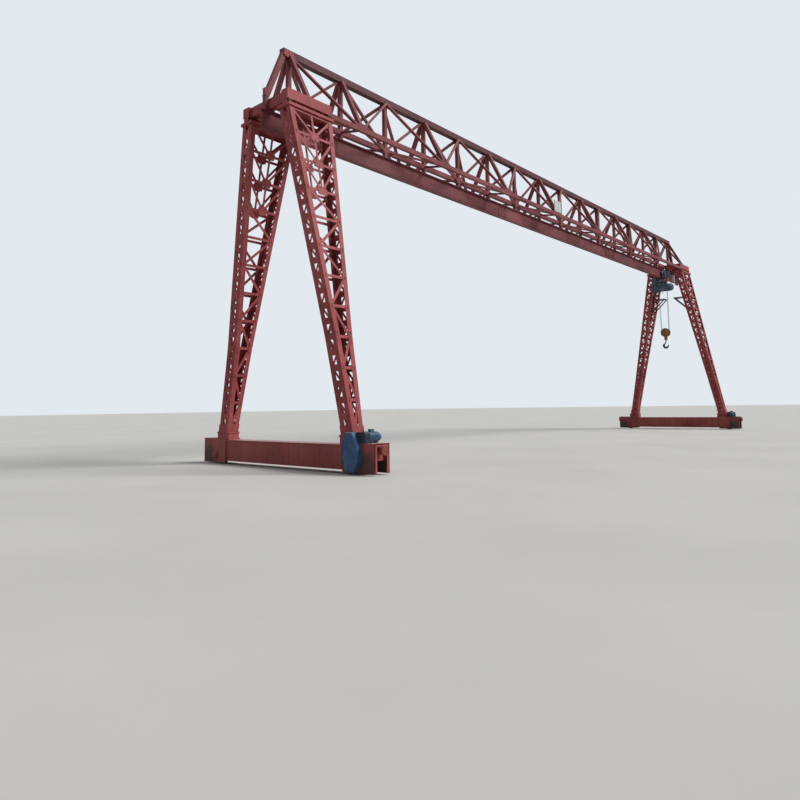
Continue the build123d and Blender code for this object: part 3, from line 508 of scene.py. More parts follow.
slateLook = {
    "base": (0.084, 0.118, 0.168), "deep": (0.056, 0.080, 0.115), "faded": (0.125, 0.165, 0.215),
    "grime": (0.046, 0.052, 0.062), "rust": (0.080, 0.040, 0.030), "dust": (0.220, 0.230, 0.230),
    "grimeAmount": 0.5, "rustFrom": 0.62, "roughness": (0.36, 0.6), "middleScale": 14,
}
paintSlate = surfaceMaterial("paintSlate", slateLook)

ochreLook = {
    "base": (0.300, 0.150, 0.048), "deep": (0.190, 0.088, 0.030), "faded": (0.400, 0.230, 0.095),
    "grime": (0.070, 0.042, 0.026), "rust": (0.130, 0.060, 0.032), "dust": (0.400, 0.330, 0.220),
    "grimeAmount": 0.65, "rustFrom": 0.57, "roughness": (0.4, 0.65), "middleScale": 18,
}
paintOchre = surfaceMaterial("paintOchre", ochreLook)

greyLook = {
    "base": (0.020, 0.028, 0.034), "deep": (0.012, 0.016, 0.020), "faded": (0.045, 0.055, 0.062),
    "grime": (0.016, 0.016, 0.016), "rust": (0.075, 0.040, 0.028), "dust": (0.200, 0.190, 0.170),
    "grimeAmount": 0.5, "rustFrom": 0.58, "roughness": (0.42, 0.68), "middleScale": 16,
}
paintGrey = surfaceMaterial("paintGrey", greyLook)

castLook = {
    "base": (0.062, 0.050, 0.044), "deep": (0.036, 0.030, 0.027), "faded": (0.110, 0.085, 0.070),
    "grime": (0.020, 0.018, 0.016), "rust": (0.150, 0.068, 0.038), "dust": (0.230, 0.200, 0.170),
    "grimeAmount": 0.5, "rustFrom": 0.54, "rustAmount": 0.9, "metallic": 0.55, "roughness": (0.38, 0.72),
    "middleScale": 20, "bump": 0.5,
}
castIron = surfaceMaterial("castIron", castLook)

forgedLook = {
    **castLook,
    "base": (0.022, 0.020, 0.019), "deep": (0.012, 0.011, 0.011), "faded": (0.042, 0.037, 0.034),
    "metallic": 0.25, "rustFrom": 0.6, "middleScale": 24, "roughness": (0.5, 0.78),
}
forgedSteel = surfaceMaterial("forgedSteel", forgedLook)

boltLook = {
    **redLook,
    "base": (0.205, 0.058, 0.052), "deep": (0.120, 0.036, 0.034), "faded": (0.290, 0.120, 0.100),
    "grimeAmount": 0.6, "rustFrom": 0.56, "rustAmount": 0.9, "middleScale": 25,
}
boltMetal = surfaceMaterial("boltMetal", boltLook)

steelLook = {
    "base": (0.260, 0.250, 0.240), "deep": (0.170, 0.160, 0.150), "faded": (0.360, 0.350, 0.340),
    "grime": (0.060, 0.052, 0.046), "rust": (0.160, 0.078, 0.044), "dust": (0.300, 0.280, 0.250),
    "grimeAmount": 0.5, "metallic": 0.85, "roughness": (0.34, 0.6), "middleScale": 24,
}
bareSteel = surfaceMaterial("bareSteel", steelLook)

sheathLook = {
    "base": (0.430, 0.430, 0.420), "deep": (0.320, 0.320, 0.315), "faded": (0.540, 0.540, 0.530),
    "grime": (0.190, 0.180, 0.165), "rust": (0.160, 0.140, 0.120), "dust": (0.330, 0.320, 0.300),
    "grimeAmount": 0.5, "rustAmount": 0.2, "roughness": (0.5, 0.75), "middleScale": 20,
}
cableSheath = surfaceMaterial("cableSheath", sheathLook)

rubberLook = {
    "base": (0.200, 0.045, 0.036), "deep": (0.120, 0.028, 0.025), "faded": (0.270, 0.080, 0.066),
    "grime": (0.040, 0.026, 0.024), "rust": (0.060, 0.030, 0.026), "dust": (0.330, 0.260, 0.230),
    "grimeAmount": 0.6, "rustAmount": 0.4, "roughness": (0.6, 0.85), "middleScale": 22,
}
rubberPad = surfaceMaterial("rubberPad", rubberLook)

plateLook = {
    "base": (0.480, 0.500, 0.480), "deep": (0.360, 0.390, 0.370), "faded": (0.600, 0.610, 0.590),
    "grime": (0.160, 0.150, 0.130), "rust": (0.220, 0.120, 0.070), "dust": (0.450, 0.430, 0.390),
    "grimeAmount": 0.6, "roughness": (0.4, 0.65), "middleScale": 9,
}
platePaint = surfaceMaterial("platePaint", plateLook)

ropeLook = {
    "metallic": 0.35, "twist": (34, 34, 20), "distortion": 0.4,
    "groove": (0.1, (0.010, 0.009, 0.008)), "strand": (0.55, (0.050, 0.048, 0.045)),
    "rust": (0.060, 0.038, 0.026), "rustStops": [(0.55, 0.0), (0.68, 0.6)],
    "roughStops": [(0.3, 0.38), (0.7, 0.66)], "wearScale": 30,
    "bump": 0.8, "bumpDepth": 0.002,
}


def ropeMaterial():
    # twisted strands: slanting bands wind round each fall of rope
    material, tree, shader = newMaterial("ropeStrands")
    shader.inputs["Metallic"].default_value = ropeLook["metallic"]
    coords = objectCoords(tree)
    wave = tree.nodes.new("ShaderNodeTexWave")
    wave.wave_type = "BANDS"
    wave.bands_direction = "DIAGONAL"
    wave.inputs["Scale"].default_value = 1.0
    wave.inputs["Distortion"].default_value = ropeLook["distortion"]
    link(tree, stretched(tree, coords, ropeLook["twist"]), wave.inputs["Vector"])
    bands = wave.outputs["Fac"]
    worn = noise(tree, coords, ropeLook["wearScale"], 6)
    colour = ramp(tree, bands, [ropeLook["groove"], ropeLook["strand"]])
    colour = mixed(tree, ramp(tree, worn, ropeLook["rustStops"]), colour, ropeLook["rust"])
    link(tree, colour, shader.inputs["Base Color"])
    link(tree, ramp(tree, worn, ropeLook["roughStops"]), shader.inputs["Roughness"])
    addBump(tree, shader, bands, ropeLook["bump"], ropeLook["bumpDepth"])
    return material


ropeStrands = ropeMaterial()

# The paint of the CAD nodes; whatever isn't listed is red. The darker reds of the girder, the top chord and
# the track are painted shade.
nodePaints = [
    (paintGirderShaded, ["centre_truss", "side_chords", "end_braces", "front_side_bracing", "back_side_bracing",
                   "front_deck_bracing", "back_deck_bracing"]),
    (paintChordShaded, ["top_chord"]),
    (paintTrackShaded, ["track_beam", "track_stops"]),
    (paintBeam, ["ground_beams"]),
    (paintHousing, ["wheel_housings"]),
    (paintBracket, ["platform_brackets"]),
    (paintSlate, ["trolley_carriage", "hoist_drum", "hoist_motor", "hoist_gearbox", "hoist_control_box"]),
    (paintBlue, ["drive_covers", "drive_motors"]),
    (paintGrey, ["drive_gearboxes"]),
    (paintOchre, ["hook_block"]),
    (castIron, [f"{end}_{side}_wheel" for end in ends for side in sides]),
    (forgedSteel, ["lifting_hook"]),
    (ropeStrands, ["hoist_ropes"]),
    (cableSheath, ["festoon_cable"]),
    (rubberPad, ["rail_buffers"]),
]
paintOf = {name: paint for paint, names in nodePaints for name in names}
for name, thing in nodes.items():
    for slot in thing.material_slots:
        slot.link = "OBJECT"
        slot.material = paintOf.get(name, paintRed)
print("materials done")


# The lattice leg: its own lines, and what is bolted to it

legLook = {
    "widths": (0.35, 0.56, 1.51), "outsets": (0.045, 0.025, 0.0),  # along X at the foot, the knee and the top
    "footDepth": 0.40, "depthGrowth": 0.02, "chordInset": 0.07,
    "rungCount": 10, "rungBolt": 0.015, "rungBoltGap": 0.05,
    "knotCount": 21, "knotBolt": 0.013, "knotBoltLift": 0.03, "knotBoltHeadroom": 0.06,
    "battenHalf": 0.085, "battenReach": 0.03, "battenThick": 0.006, "battenHeadroom": 0.12,
    "kneeReach": 0.16, "kneeHalf": 0.05, "kneeThick": 0.008, "kneeBolt": 0.013,
    "kneeBoltLifts": (-0.12, -0.085, 0.085, 0.12),
    "starKnots": (8, 9, 10), "starInset": 0.0055, "starThick": 0.006, "starBolt": 0.014,
    "starBolts": ((-0.13, 0.0), (0.13, 0.0), (-0.07, 0.09), (0.07, 0.09), (0, -0.085)),
    "starOutline": [(-0.165, -0.040), (-0.075, -0.120), (0.075, -0.120), (0.165, -0.040),
                    (0.165, 0.050), (0.095, 0.135), (-0.095, 0.135), (-0.165, 0.050)],
}


def rungZ(k):
    return crane["legFoot"] + crane["rungRise"] + k * crane["rungPitch"]


def knotHeights(headroom):
    # number and height of the zigzag's knots, up to where the cap begins
    heights = [(k, crane["legFoot"] + crane["rungRise"] + k * crane["rungPitch"] / 2)
               for k in range(1, legLook["knotCount"] + 1)]
    return [(k, z) for k, z in heights if z <= crane["legTop"] - headroom]


def kneed(z, atFoot, atKnee, atTop):
    foot, knee, top = crane["legFoot"], crane["legKnee"], crane["legTop"]
    if z <= knee:
        return atFoot + (atKnee - atFoot) * (z - foot) / (knee - foot)
    return atKnee + (atTop - atKnee) * (z - knee) / (top - knee)


def legWidth(z):
    return kneed(z, *legLook["widths"])


def legCentreX(end, z):
    return end * (crane["frameX"] + kneed(z, *legLook["outsets"]))


def legShare(z):
    return (z - crane["legFoot"]) / (crane["legTop"] - crane["legFoot"])


def legCentreY(z):
    return crane["legFootY"] + (crane["legTopY"] - crane["legFootY"]) * legShare(z)


def legDepth(z):
    return legLook["footDepth"] + legLook["depthGrowth"] * legShare(z)


def widePoint(end, side, ySign, xShare, z):
    # on the outside of a wide face; xShare runs from -1 to 1 between the chords' middles
    x = legCentreX(end, z) + xShare * (legWidth(z) / 2 - legLook["chordInset"])
    return Vector((x, side * (legCentreY(z) + ySign * legDepth(z) / 2), z))


def wideNormal(side, ySign):
    lean = side * (crane["legTopY"] - crane["legFootY"]) / (crane["legTop"] - crane["legFoot"])
    return (Vector((0, 1, -lean)) * side * ySign).normalized()


def narrowPoint(end, side, xSign, yShare, z):
    # on the outside of a narrow face; yShare runs from -1 to 1 between the chords' middles
    x = legCentreX(end, z) + xSign * legWidth(z) / 2
    return Vector((x, side * (legCentreY(z) + yShare * (legDepth(z) / 2 - legLook["chordInset"])), z))


def narrowNormal(end, side, xSign, z):
    step = 0.05
    run = narrowPoint(end, side, xSign, 1, z + step) - narrowPoint(end, side, xSign, 1, z - step)
    return (Vector((run.z, 0, -run.x)) * xSign).normalized()


def legBolts(store, end, side):
    # at the rungs and stars of the wide faces, and at the zigzag's knots on the narrow ones
    gap = legLook["rungBoltGap"] / 2
    proud = legLook["starThick"] - legLook["starInset"]
    for ySign in (-1, 1):
        normal = wideNormal(side, ySign)
        for k in range(1, legLook["rungCount"] + 1):
            spots = [widePoint(end, side, ySign, xShare, rungZ(k) + lift)
                     for xShare in (-1, 1) for lift in (-gap, gap)]
            addBolts(store, spots, normal, legLook["rungBolt"])
        for k in legLook["starKnots"]:
            spots = [widePoint(end, side, ySign, 0, rungZ(k) + lift) + Vector((across, 0, 0)) + normal * proud
                     for across, lift in legLook["starBolts"]]
            addBolts(store, spots, normal, legLook["starBolt"], stud=False)
    for xSign in (-1, 1):
        for k, z in knotHeights(legLook["knotBoltHeadroom"]):
            normal = narrowNormal(end, side, xSign, z)
            yShare = 1 if k % 2 else -1
            spots = [narrowPoint(end, side, xSign, yShare, z + lift) + normal * legLook["battenThick"]
                     for lift in (-legLook["knotBoltLift"], legLook["knotBoltLift"])]
            addBolts(store, spots, normal, legLook["knotBolt"], stud=False)


def kneePlates(store, end, side):
    # splice plates over the chords' bend at the knee, and the outer layer of the star plates
    z, reach, half = crane["legKnee"], legLook["kneeReach"], legLook["kneeHalf"]
    for ySign in (-1, 1):
        normal = wideNormal(side, ySign)
        for xShare in (-1, 1):
            foot, top = (widePoint(end, side, ySign, xShare, z + lift) for lift in (-reach, reach))
            v = (top - foot).normalized()
            u = v.cross(normal).normalized()
            addPlate(store, rectangle(-half, 0, half, 2 * reach), foot, u, v, legLook["kneeThick"])
            spots = [widePoint(end, side, ySign, xShare, z + lift) + normal * legLook["kneeThick"]
                     for lift in legLook["kneeBoltLifts"]]
            addBolts(store, spots, normal, legLook["kneeBolt"])
        for k in legLook["starKnots"]:
            middle = widePoint(end, side, ySign, 0, rungZ(k))
            v = (widePoint(end, side, ySign, 0, rungZ(k) + 0.1) - middle).normalized()
            u = v.cross(normal).normalized()
            middle = middle - normal * legLook["starInset"]
            addPlate(store, legLook["starOutline"], middle, u, v, legLook["starThick"])


def legBattens(store, end, side):
    # plates over the knots on both narrow faces, so that only small slots stay open between them
    half, thick = legLook["battenHalf"], legLook["battenThick"]
    for xSign in (-1, 1):
        for _, z in knotHeights(legLook["battenHeadroom"]):
            low, high = narrowPoint(end, side, xSign, -1, z), narrowPoint(end, side, xSign, 1, z)
            u = (high - low).normalized()
            v = narrowNormal(end, side, xSign, z).cross(u)
            reach = (high - low).length / 2 + legLook["battenReach"]
            addPlate(store, rectangle(-reach, -half, reach, half), (low + high) / 2, u, v, thick)


for endName, end in ends.items():
    for sideName, side in sides.items():
        corner, place = f"{endName}_{sideName}", [(end, side)]
        buildPiece(legBattens, f"legBattens_{corner}", paintRed, "gantry", place)
        buildPiece(legBolts, f"legBolts_{corner}", boltMetal, "gantry", place)
        buildPiece(kneePlates, f"kneePlates_{corner}", paintRed, "gantry", place)
print("legs done")


# Caps and the pads on them

capLook = {
    "halfX": 0.795, "innerY": 0.565, "outerY": 1.065, "boltEdge": 0.022, "bolt": 0.015,
    "gapsX": 12, "endYs": (0.69, 0.815, 0.94),
}


def capBolts(store, end, side):
    half, edge, gaps = capLook["halfX"], capLook["boltEdge"], capLook["gapsX"]
    inner, outer = capLook["innerY"], capLook["outerY"]
    spots = [(x, y) for x in [-half + edge + i * (2 * half - 2 * edge) / gaps for i in range(gaps + 1)]
             for y in (inner + edge, outer - edge)]
    spots += [(x, y) for x in (-half + edge, half - edge) for y in capLook["endYs"]]
    for x, y in spots:
        place = (end * crane["frameX"] + x, side * y)
        addBolt(store, (*place, crane["capTop"]), (0, 0, 1), capLook["bolt"])
        addBolt(store, (*place, crane["legTop"]), (0, 0, -1), capLook["bolt"])


padLook = {
    "radius": 0.058, "x": 0.69, "z": 9.625, "inner": 0.90, "outer": 1.004, "bolt": 0.018,
    "lowBolt": 0.02, "lowBoltX": 0.30, "lowBoltY": 1.02,
}


def headPads(store, end, side):
    # round pads at both ends of the gap under the head's side beam, on the leg's cap
    middle, out = end * crane["frameX"], (0, side, 0)
    length, radius, z = padLook["outer"] - padLook["inner"], padLook["radius"], padLook["z"]
    profile = [(0, radius), (length - 0.012, radius), (length - 0.004, radius - 0.006),
               (length, radius - 0.016)]
    for x in (-padLook["x"], padLook["x"]):
        addLathe(store, (middle + x, side * padLook["inner"], z), out, profile)
        addBolt(store, (middle + x, side * padLook["outer"], z), out, padLook["bolt"])
    for x in (-padLook["lowBoltX"], padLook["lowBoltX"]):
        spot = (middle + x, side * padLook["lowBoltY"], crane["capTop"])
        addBolt(store, spot, (0, 0, 1), padLook["lowBolt"])


buildPiece(capBolts, "capBolts", boltMetal, "gantry", cornerPlaces)
buildPiece(headPads, "headPads", castIron, "gantry", cornerPlaces)


# Plates on the girder and the track, with splices where it comes apart for transport

spliceLook = {
    "panels": (5, 10),
    "knotOutline": [(-0.26, 0.0), (0.26, 0.0), (0.13, 0.10), (-0.13, 0.10)],
    "knotThick": 0.008, "knotSunk": 0.01,
    "top": {"y": crane["topChordHalf"], "halfX": 0.28, "low": 11.455, "high": 11.605, "thick": 0.01,
            "bolt": 0.014, "boltXs": (-0.23, -0.16, -0.09, 0.09, 0.16, 0.23), "boltZs": (11.495, 11.565)},
    "low": {"y": crane["sideChordOuter"], "halfX": 0.24, "low": 9.61, "high": 9.73, "thick": 0.01,
            "bolt": 0.012, "boltXs": (-0.19, -0.11, 0.11, 0.19), "boltZs": (9.64, 9.70)},
    "track": {"y": 0.007, "halfX": 0.3, "low": 9.17, "high": 9.55, "thick": 0.012,
              "bolt": 0.014, "boltXs": (-0.25, -0.17, -0.09, 0.09, 0.17, 0.25),
              "boltZs": (9.21, 9.29, 9.43, 9.51)},
}


def fishPlate(store, x, side, plate):
    y, outer = side * plate["y"], side * plate["y"] + side * plate["thick"]
    addBlock(store, (x - plate["halfX"], y, plate["low"]), (x + plate["halfX"], outer, plate["high"]), 0.003)
    spots = [(x + across, outer, z) for across in plate["boltXs"] for z in plate["boltZs"]]
    addBolts(store, spots, (0, side, 0), plate["bolt"])


def spliceXs():
    return [crane["firstNodeX"] + (i + 0.5) * crane["panelLength"] for i in spliceLook["panels"]]


def girderPlates(store):
    # gussets where the long braces leave the side chords, and fish plates on all three chords
    for i in range(1, crane["panelCount"], 2):
        x = crane["firstNodeX"] + i * crane["panelLength"]
        for side in sides.values():
            spot = (x, side * (crane["sideChordOuter"] - spliceLook["knotSunk"]), crane["sideChordTop"])
            addPlate(store, spliceLook["knotOutline"], spot, (-side, 0, 0), (0, 0, 1),
                     spliceLook["knotThick"])
    for x in spliceXs():
        for side in sides.values():
            fishPlate(store, x, side, spliceLook["top"])
            fishPlate(store, x, side, spliceLook["low"])


def trackPlates(store):
    for x in spliceXs():
        for side in sides.values():
            fishPlate(store, x, side, spliceLook["track"])


buildPiece(girderPlates, "girderPlates", paintGirderShaded, "gantry")
buildPiece(trackPlates, "trackPlates", paintTrackShaded, "gantry")
print("girder done")


# Head frames, end posts and the peak

headLook = {
    "boltRow": 0.70, "boltPitch": 0.175, "boltCount": 9, "boltInset": 0.045, "bolt": 0.015,
    "postX": 15.75, "stubHalf": 0.056, "stubLow": 10.03, "stubHigh": 10.235,
    "lidReach": 0.010, "lidThick": 0.008,
    "peakX": 15.02, "peakZ": 11.50, "peakPlate": (0.17, 0.10, 0.05), "peakThick": 0.01, "peakBolt": 0.014,
    "peakBolts": ((-0.11, 0, 0.11), (-0.05, 0.05)),
    "starHalfX": 0.150, "starHalfZ": 0.115, "starThick": 0.008, "starSunk": 0.0135,
}


def headBolts(store, end, side):
    y = side * (crane["headHalfY"] - headLook["boltInset"])
    for k in range(headLook["boltCount"]):
        x = end * crane["frameX"] - headLook["boltRow"] + k * headLook["boltPitch"]
        addBolt(store, (x, y, crane["headTop"]), (0, 0, 1), headLook["bolt"])


def postStub(store, end):
    # stub of the end post that stands up beside the strut, closed by a small plate
    x, half, reach = end * headLook["postX"], headLook["stubHalf"], headLook["lidReach"]
    low, high = headLook["stubLow"], headLook["stubHigh"]
    addBlock(store, (x - half, -half, low), (x + half, half, high), 0.004)
    addBlock(store, (x - half - reach, -half - reach, high),
             (x + half + reach, half + reach, high + headLook["lidThick"]), 0.002)


def starPlates(store, end, side):
    # inner layer of the eight-sided plates over the star knots, on both wide faces of a leg
    a, b = headLook["starHalfX"], headLook["starHalfZ"]
    outline = [(-a, -b * 0.45), (-a * 0.55, -b), (a * 0.55, -b), (a, -b * 0.45),
               (a, b * 0.45), (a * 0.55, b), (-a * 0.55, b), (-a, b * 0.45)]
    for ySign in (-1, 1):
        normal = wideNormal(side, ySign)
        v = (Vector((0, 0, 1)) - normal * normal.z).normalized()
        for k in legLook["starKnots"]:
            spot = widePoint(end, side, ySign, 0, rungZ(k)) - normal * headLook["starSunk"]
            addPlate(store, outline, spot, v.cross(normal), v, headLook["starThick"])


def peakPlates(store, end):
    # side plates at the end of the top chord, where the end strut comes up to it
    x, z = end * headLook["peakX"], headLook["peakZ"]
    acrossBolts, liftBolts = headLook["peakBolts"]
    for side in sides.values():
        y, outer = side * crane["topChordHalf"], side * crane["topChordHalf"] + side * headLook["peakThick"]
        outline = roundedOutline(*headLook["peakPlate"])
        addPlate(store, outline, (x, y, z), (-side, 0, 0), (0, 0, 1), headLook["peakThick"])
        spots = [(x + a, outer, z + b) for a in acrossBolts for b in liftBolts]
        addBolts(store, spots, (0, side, 0), headLook["peakBolt"])


def headTrim(store, end):
    for side in sides.values():
        starPlates(store, end, side)
    postStub(store, end)
    peakPlates(store, end)


buildPiece(headTrim, "headTrim", paintRed, "gantry", endPlaces)
buildPiece(headBolts, "headBolts", boltMetal, "gantry", cornerPlaces)


# A bare plate stands on two brackets at the front side chord

boardLook = {
    "lowX": -1.41, "highX": -0.83, "y": -0.985, "lowZ": 9.77, "highZ": 10.26, "thick": 0.004, "fold": 0.018,
    "bracketInset": 0.10, "bracketHalf": 0.02, "bracketThick": (0.001, 0.007), "bracketZ": (9.60, 10.21),
    "shelf": (9.739, 9.746), "shelfBackY": -0.90, "bolt": 0.008, "boltZs": (9.84, 10.18),
}


def barePlate(store):
    x0, x1, y = boardLook["lowX"], boardLook["highX"], boardLook["y"]
    z0, z1, thick = boardLook["lowZ"], boardLook["highZ"], boardLook["thick"]
    addBlock(store, (x0, y - thick, z0), (x1, y, z1), 0.001)
    for a, b, c, d in ((x0, z0, x1, z0 + thick), (x0, z1 - thick, x1, z1),
                       (x0, z0, x0 + thick, z1), (x1 - thick, z0, x1, z1)):
        addBlock(store, (a, y, b), (c, y + boardLook["fold"], d), 0.0008)


def plateBrackets(store):
    look, y, half, inset = boardLook, boardLook["y"], boardLook["bracketHalf"], boardLook["bracketInset"]
    near, far = (y + value for value in look["bracketThick"])
    (foot, top), (shelfLow, shelfHigh) = look["bracketZ"], look["shelf"]
    for x in (look["lowX"] + inset, look["highX"] - inset):
        addBlock(store, (x - half, near, foot), (x + half, far, top), 0.001)
        addBlock(store, (x - half, near, shelfLow), (x + half, look["shelfBackY"], shelfHigh), 0.001)
        spots = [(x, y - look["thick"], z) for z in look["boltZs"]]
        addBolts(store, spots, (0, -1, 0), look["bolt"], stud=False)


buildPiece(barePlate, "barePlate", platePaint, "gantry")
buildPiece(plateBrackets, "plateBrackets", paintGirderShaded, "gantry")
print("head frames done")


# Leg feet, ground beams and wheel housings

footLook = {
    "x": 15.045, "bolt": 0.02, "boltXs": (-0.165, 0.165), "boltYs": (-0.26, -0.09, 0.09, 0.26),
    "plateTop": 0.90, "plateLow": 0.875,
}
beamEndLook = {
    "flangeX": 0.22, "flangeWidth": 0.045, "flangeY": (2.412, 2.43), "flangeZ": (0.12, 0.67),
    "bolt": 0.014, "boltX": 0.243, "boltZs": (0.17, 0.27, 0.37, 0.47, 0.57, 0.64),
}
portalLook = {
    "outerY": 3.5, "thick": 0.012, "postX": 0.25, "postWidth": 0.085, "postLow": 0.05,
    "lintelLow": 0.652, "high": 0.728,
}
bufferLook = {
    "seatY": 3.475, "z": 0.57, "outer": 0.095, "inner": 0.055, "thick": 0.012,
    "bolt": 0.010, "boltRing": 0.078, "boltCount": 4,
}


def footBolts(store, end, side):
    x, y = end * footLook["x"], side * crane["legFootY"]
    for a in footLook["boltXs"]:
        for b in footLook["boltYs"]:
            addBolt(store, (x + a, y + b, footLook["plateTop"]), (0, 0, 1), footLook["bolt"])
            addBolt(store, (x + a, y + b, footLook["plateLow"]), (0, 0, -1), footLook["bolt"])


def beamTrim(store, end, side):
    # end flanges of the ground beam against the wheel housing
    (y0, y1), (z0, z1) = beamEndLook["flangeY"], beamEndLook["flangeZ"]
    for sign in (-1, 1):
        x = end * crane["frameX"] + sign * beamEndLook["flangeX"]
        addBlock(store, (x, side * y0, z0), (x + sign * beamEndLook["flangeWidth"], side * y1, z1), 0.003)


def beamBolts(store, end, side):
    for sign in (-1, 1):
        x, y = end * crane["frameX"] + sign * beamEndLook["boltX"], side * beamEndLook["flangeY"][0]
        addBolts(store, [(x, y, z) for z in beamEndLook["boltZs"]], (0, -side, 0), beamEndLook["bolt"])


def portalPlates(store, end, side):
    # plates on the edges of a wheel housing's open end, bright and facing along the rail
    middle, outer, width = end * crane["frameX"], side * portalLook["outerY"], portalLook["postWidth"]
    inner, high = outer - side * portalLook["thick"], portalLook["high"]
    for sign in (-1, 1):
        x = middle + sign * portalLook["postX"]
        addBlock(store, (x, inner, portalLook["postLow"]), (x - sign * width, outer, high), 0.003)
    half = portalLook["postX"] - width
    addBlock(store, (middle - half, inner, portalLook["lintelLow"]), (middle + half, outer, high), 0.003)


def bufferTrim(store, end, side):
    x, seat, z, n = end * crane["frameX"], side * bufferLook["seatY"], bufferLook["z"], (0, side, 0)
    addRing(store, (x, seat, z), n, bufferLook["outer"], bufferLook["inner"], bufferLook["thick"])
    face = (x, seat + side * bufferLook["thick"], z)
    spots = spotsRound(face, n, bufferLook["boltRing"], bufferLook["boltCount"])
    addBolts(store, spots, n, bufferLook["bolt"], stud=False)


def groundBolts(store, end, side):
    beamBolts(store, end, side)
    footBolts(store, end, side)
    bufferTrim(store, end, side)


buildPiece(beamTrim, "beamTrim", paintBeam, "gantry", cornerPlaces)
buildPiece(groundBolts, "footBolts", boltMetal, "gantry", cornerPlaces)
buildPiece(portalPlates, "housingPortals", paintRed, "gantry", cornerPlaces)

bearingLook = {
    "cheekX": 0.25, "ring": (0.128, 0.10, 0.012), "ringBolt": 0.010, "ringBolts": (0.115, 4),
    "faceX": 0.298, "cap": [(0, 0.078), (0.012, 0.078), (0.016, 0.072)], "capSunk": 0.002,
    "capBolt": 0.009, "capBolts": (0.058, 6), "capBoltX": 0.013,
}


def bearingCaps(store, end, side):
    # flange ring on the cheek and a bolted cap on the boss, left out where the chain case covers them
    middle, y, z = end * crane["frameX"], side * crane["wheelY"], crane["wheelZ"]
    outer, inner, thick = bearingLook["ring"]
    for sign in (-1, 1):
        if side < 0 and sign == end:
            continue
        n, cheek = (sign, 0, 0), middle + sign * bearingLook["cheekX"]
        face = middle + sign * bearingLook["faceX"]
        addRing(store, (cheek, y, z), n, outer, inner, thick)
        addLathe(store, (face - sign * bearingLook["capSunk"], y, z), n, bearingLook["cap"], 32)
        capFace = (face + sign * bearingLook["capBoltX"], y, z)
        spots = spotsRound(capFace, n, *bearingLook["capBolts"], start=0)
        addBolts(store, spots, n, bearingLook["capBolt"], stud=False)
        spots = spotsRound((cheek + sign * thick, y, z), n, *bearingLook["ringBolts"])
        addBolts(store, spots, n, bearingLook["ringBolt"], stud=False)


buildPiece(bearingCaps, "bearingCaps", paintBeam, "gantry", cornerPlaces)

# Half of the wheel's turned section: journal, hub, dished web, rim, tread's flange and half the tread
wheelLook = {
    "profile": [(-0.280, 0.040), (-0.276, 0.045), (-0.092, 0.045), (-0.090, 0.084), (-0.084, 0.090),
                (-0.050, 0.094), (-0.030, 0.104), (-0.024, 0.118), (-0.024, 0.196), (-0.032, 0.212),
                (-0.060, 0.222), (-0.067, 0.230), (-0.067, 0.268), (-0.063, 0.272), (-0.055, 0.272),
                (-0.049, 0.262), (-0.044, 0.252), (-0.040, 0.250)],
    "steps": 72, "eyeX": 0.024, "eyeRing": 0.155, "eyeCount": 6, "eye": (0.030, 0.020, 0.006),
}


def railWheel(store, end, side):
    middle = (end * crane["frameX"], side * crane["wheelY"], crane["wheelZ"])
    half = wheelLook["profile"]
    profile = half + [(-along, radius) for along, radius in reversed(half)]
    addLathe(store, middle, (1, 0, 0), profile, wheelLook["steps"])
    for sign in (-1, 1):
        face = (middle[0] + sign * wheelLook["eyeX"], *middle[1:])
        for spot in spotsRound(face, (sign, 0, 0), wheelLook["eyeRing"], wheelLook["eyeCount"], start=0):
            addRing(store, spot, (sign, 0, 0), *wheelLook["eye"], 16)


for endName, end in ends.items():
    for sideName, side in sides.items():
        node, name = f"{endName}_{sideName}_wheel", f"railWheel_{endName}_{sideName}"
        wheel = buildPiece(railWheel, name, castIron, node, [(end, side)])
        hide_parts(node)
print("ground beams done")


# The drives on the front wheel housings: chain case, reducer and motor

caseLook = {
    "outline": [(-2.68, 0.060), (-2.92, 0.060), (-3.055, 0.30), (-3.055, 0.66),
                (-2.885, 0.985), (-2.665, 0.985), (-2.560, 0.74), (-2.560, 0.30)],
    "seatX": 0.25, "faceX": 0.392, "rim": 0.014, "rimThick": 0.008, "edge": 0.014,
    "panelInset": 0.035, "panelRise": 0.006,
    "covers": ((-crane["wheelY"], crane["wheelZ"], 0.075), (-2.79, 0.84, 0.05)),
    "bolt": 0.008, "boltInset": 0.020, "boltShares": (0.25, 0.75),
}


def shrunkOutline(outline, inset):
    # the outline moved inwards by an even distance; it turns clockwise in (y, z)
    count = len(outline)
    result = []
    for k in range(count):
        before, here, after = (Vector(outline[(k + m) % count]) for m in (-1, 0, 1))
        first, second = (here - before).normalized(), (after - here).normalized()
        inFirst, inSecond = Vector((first.y, -first.x)), Vector((second.y, -second.x))
        toward = inFirst + inSecond
        result.append(tuple(here + toward * inset / (1 + inFirst.dot(inSecond))))
    return result


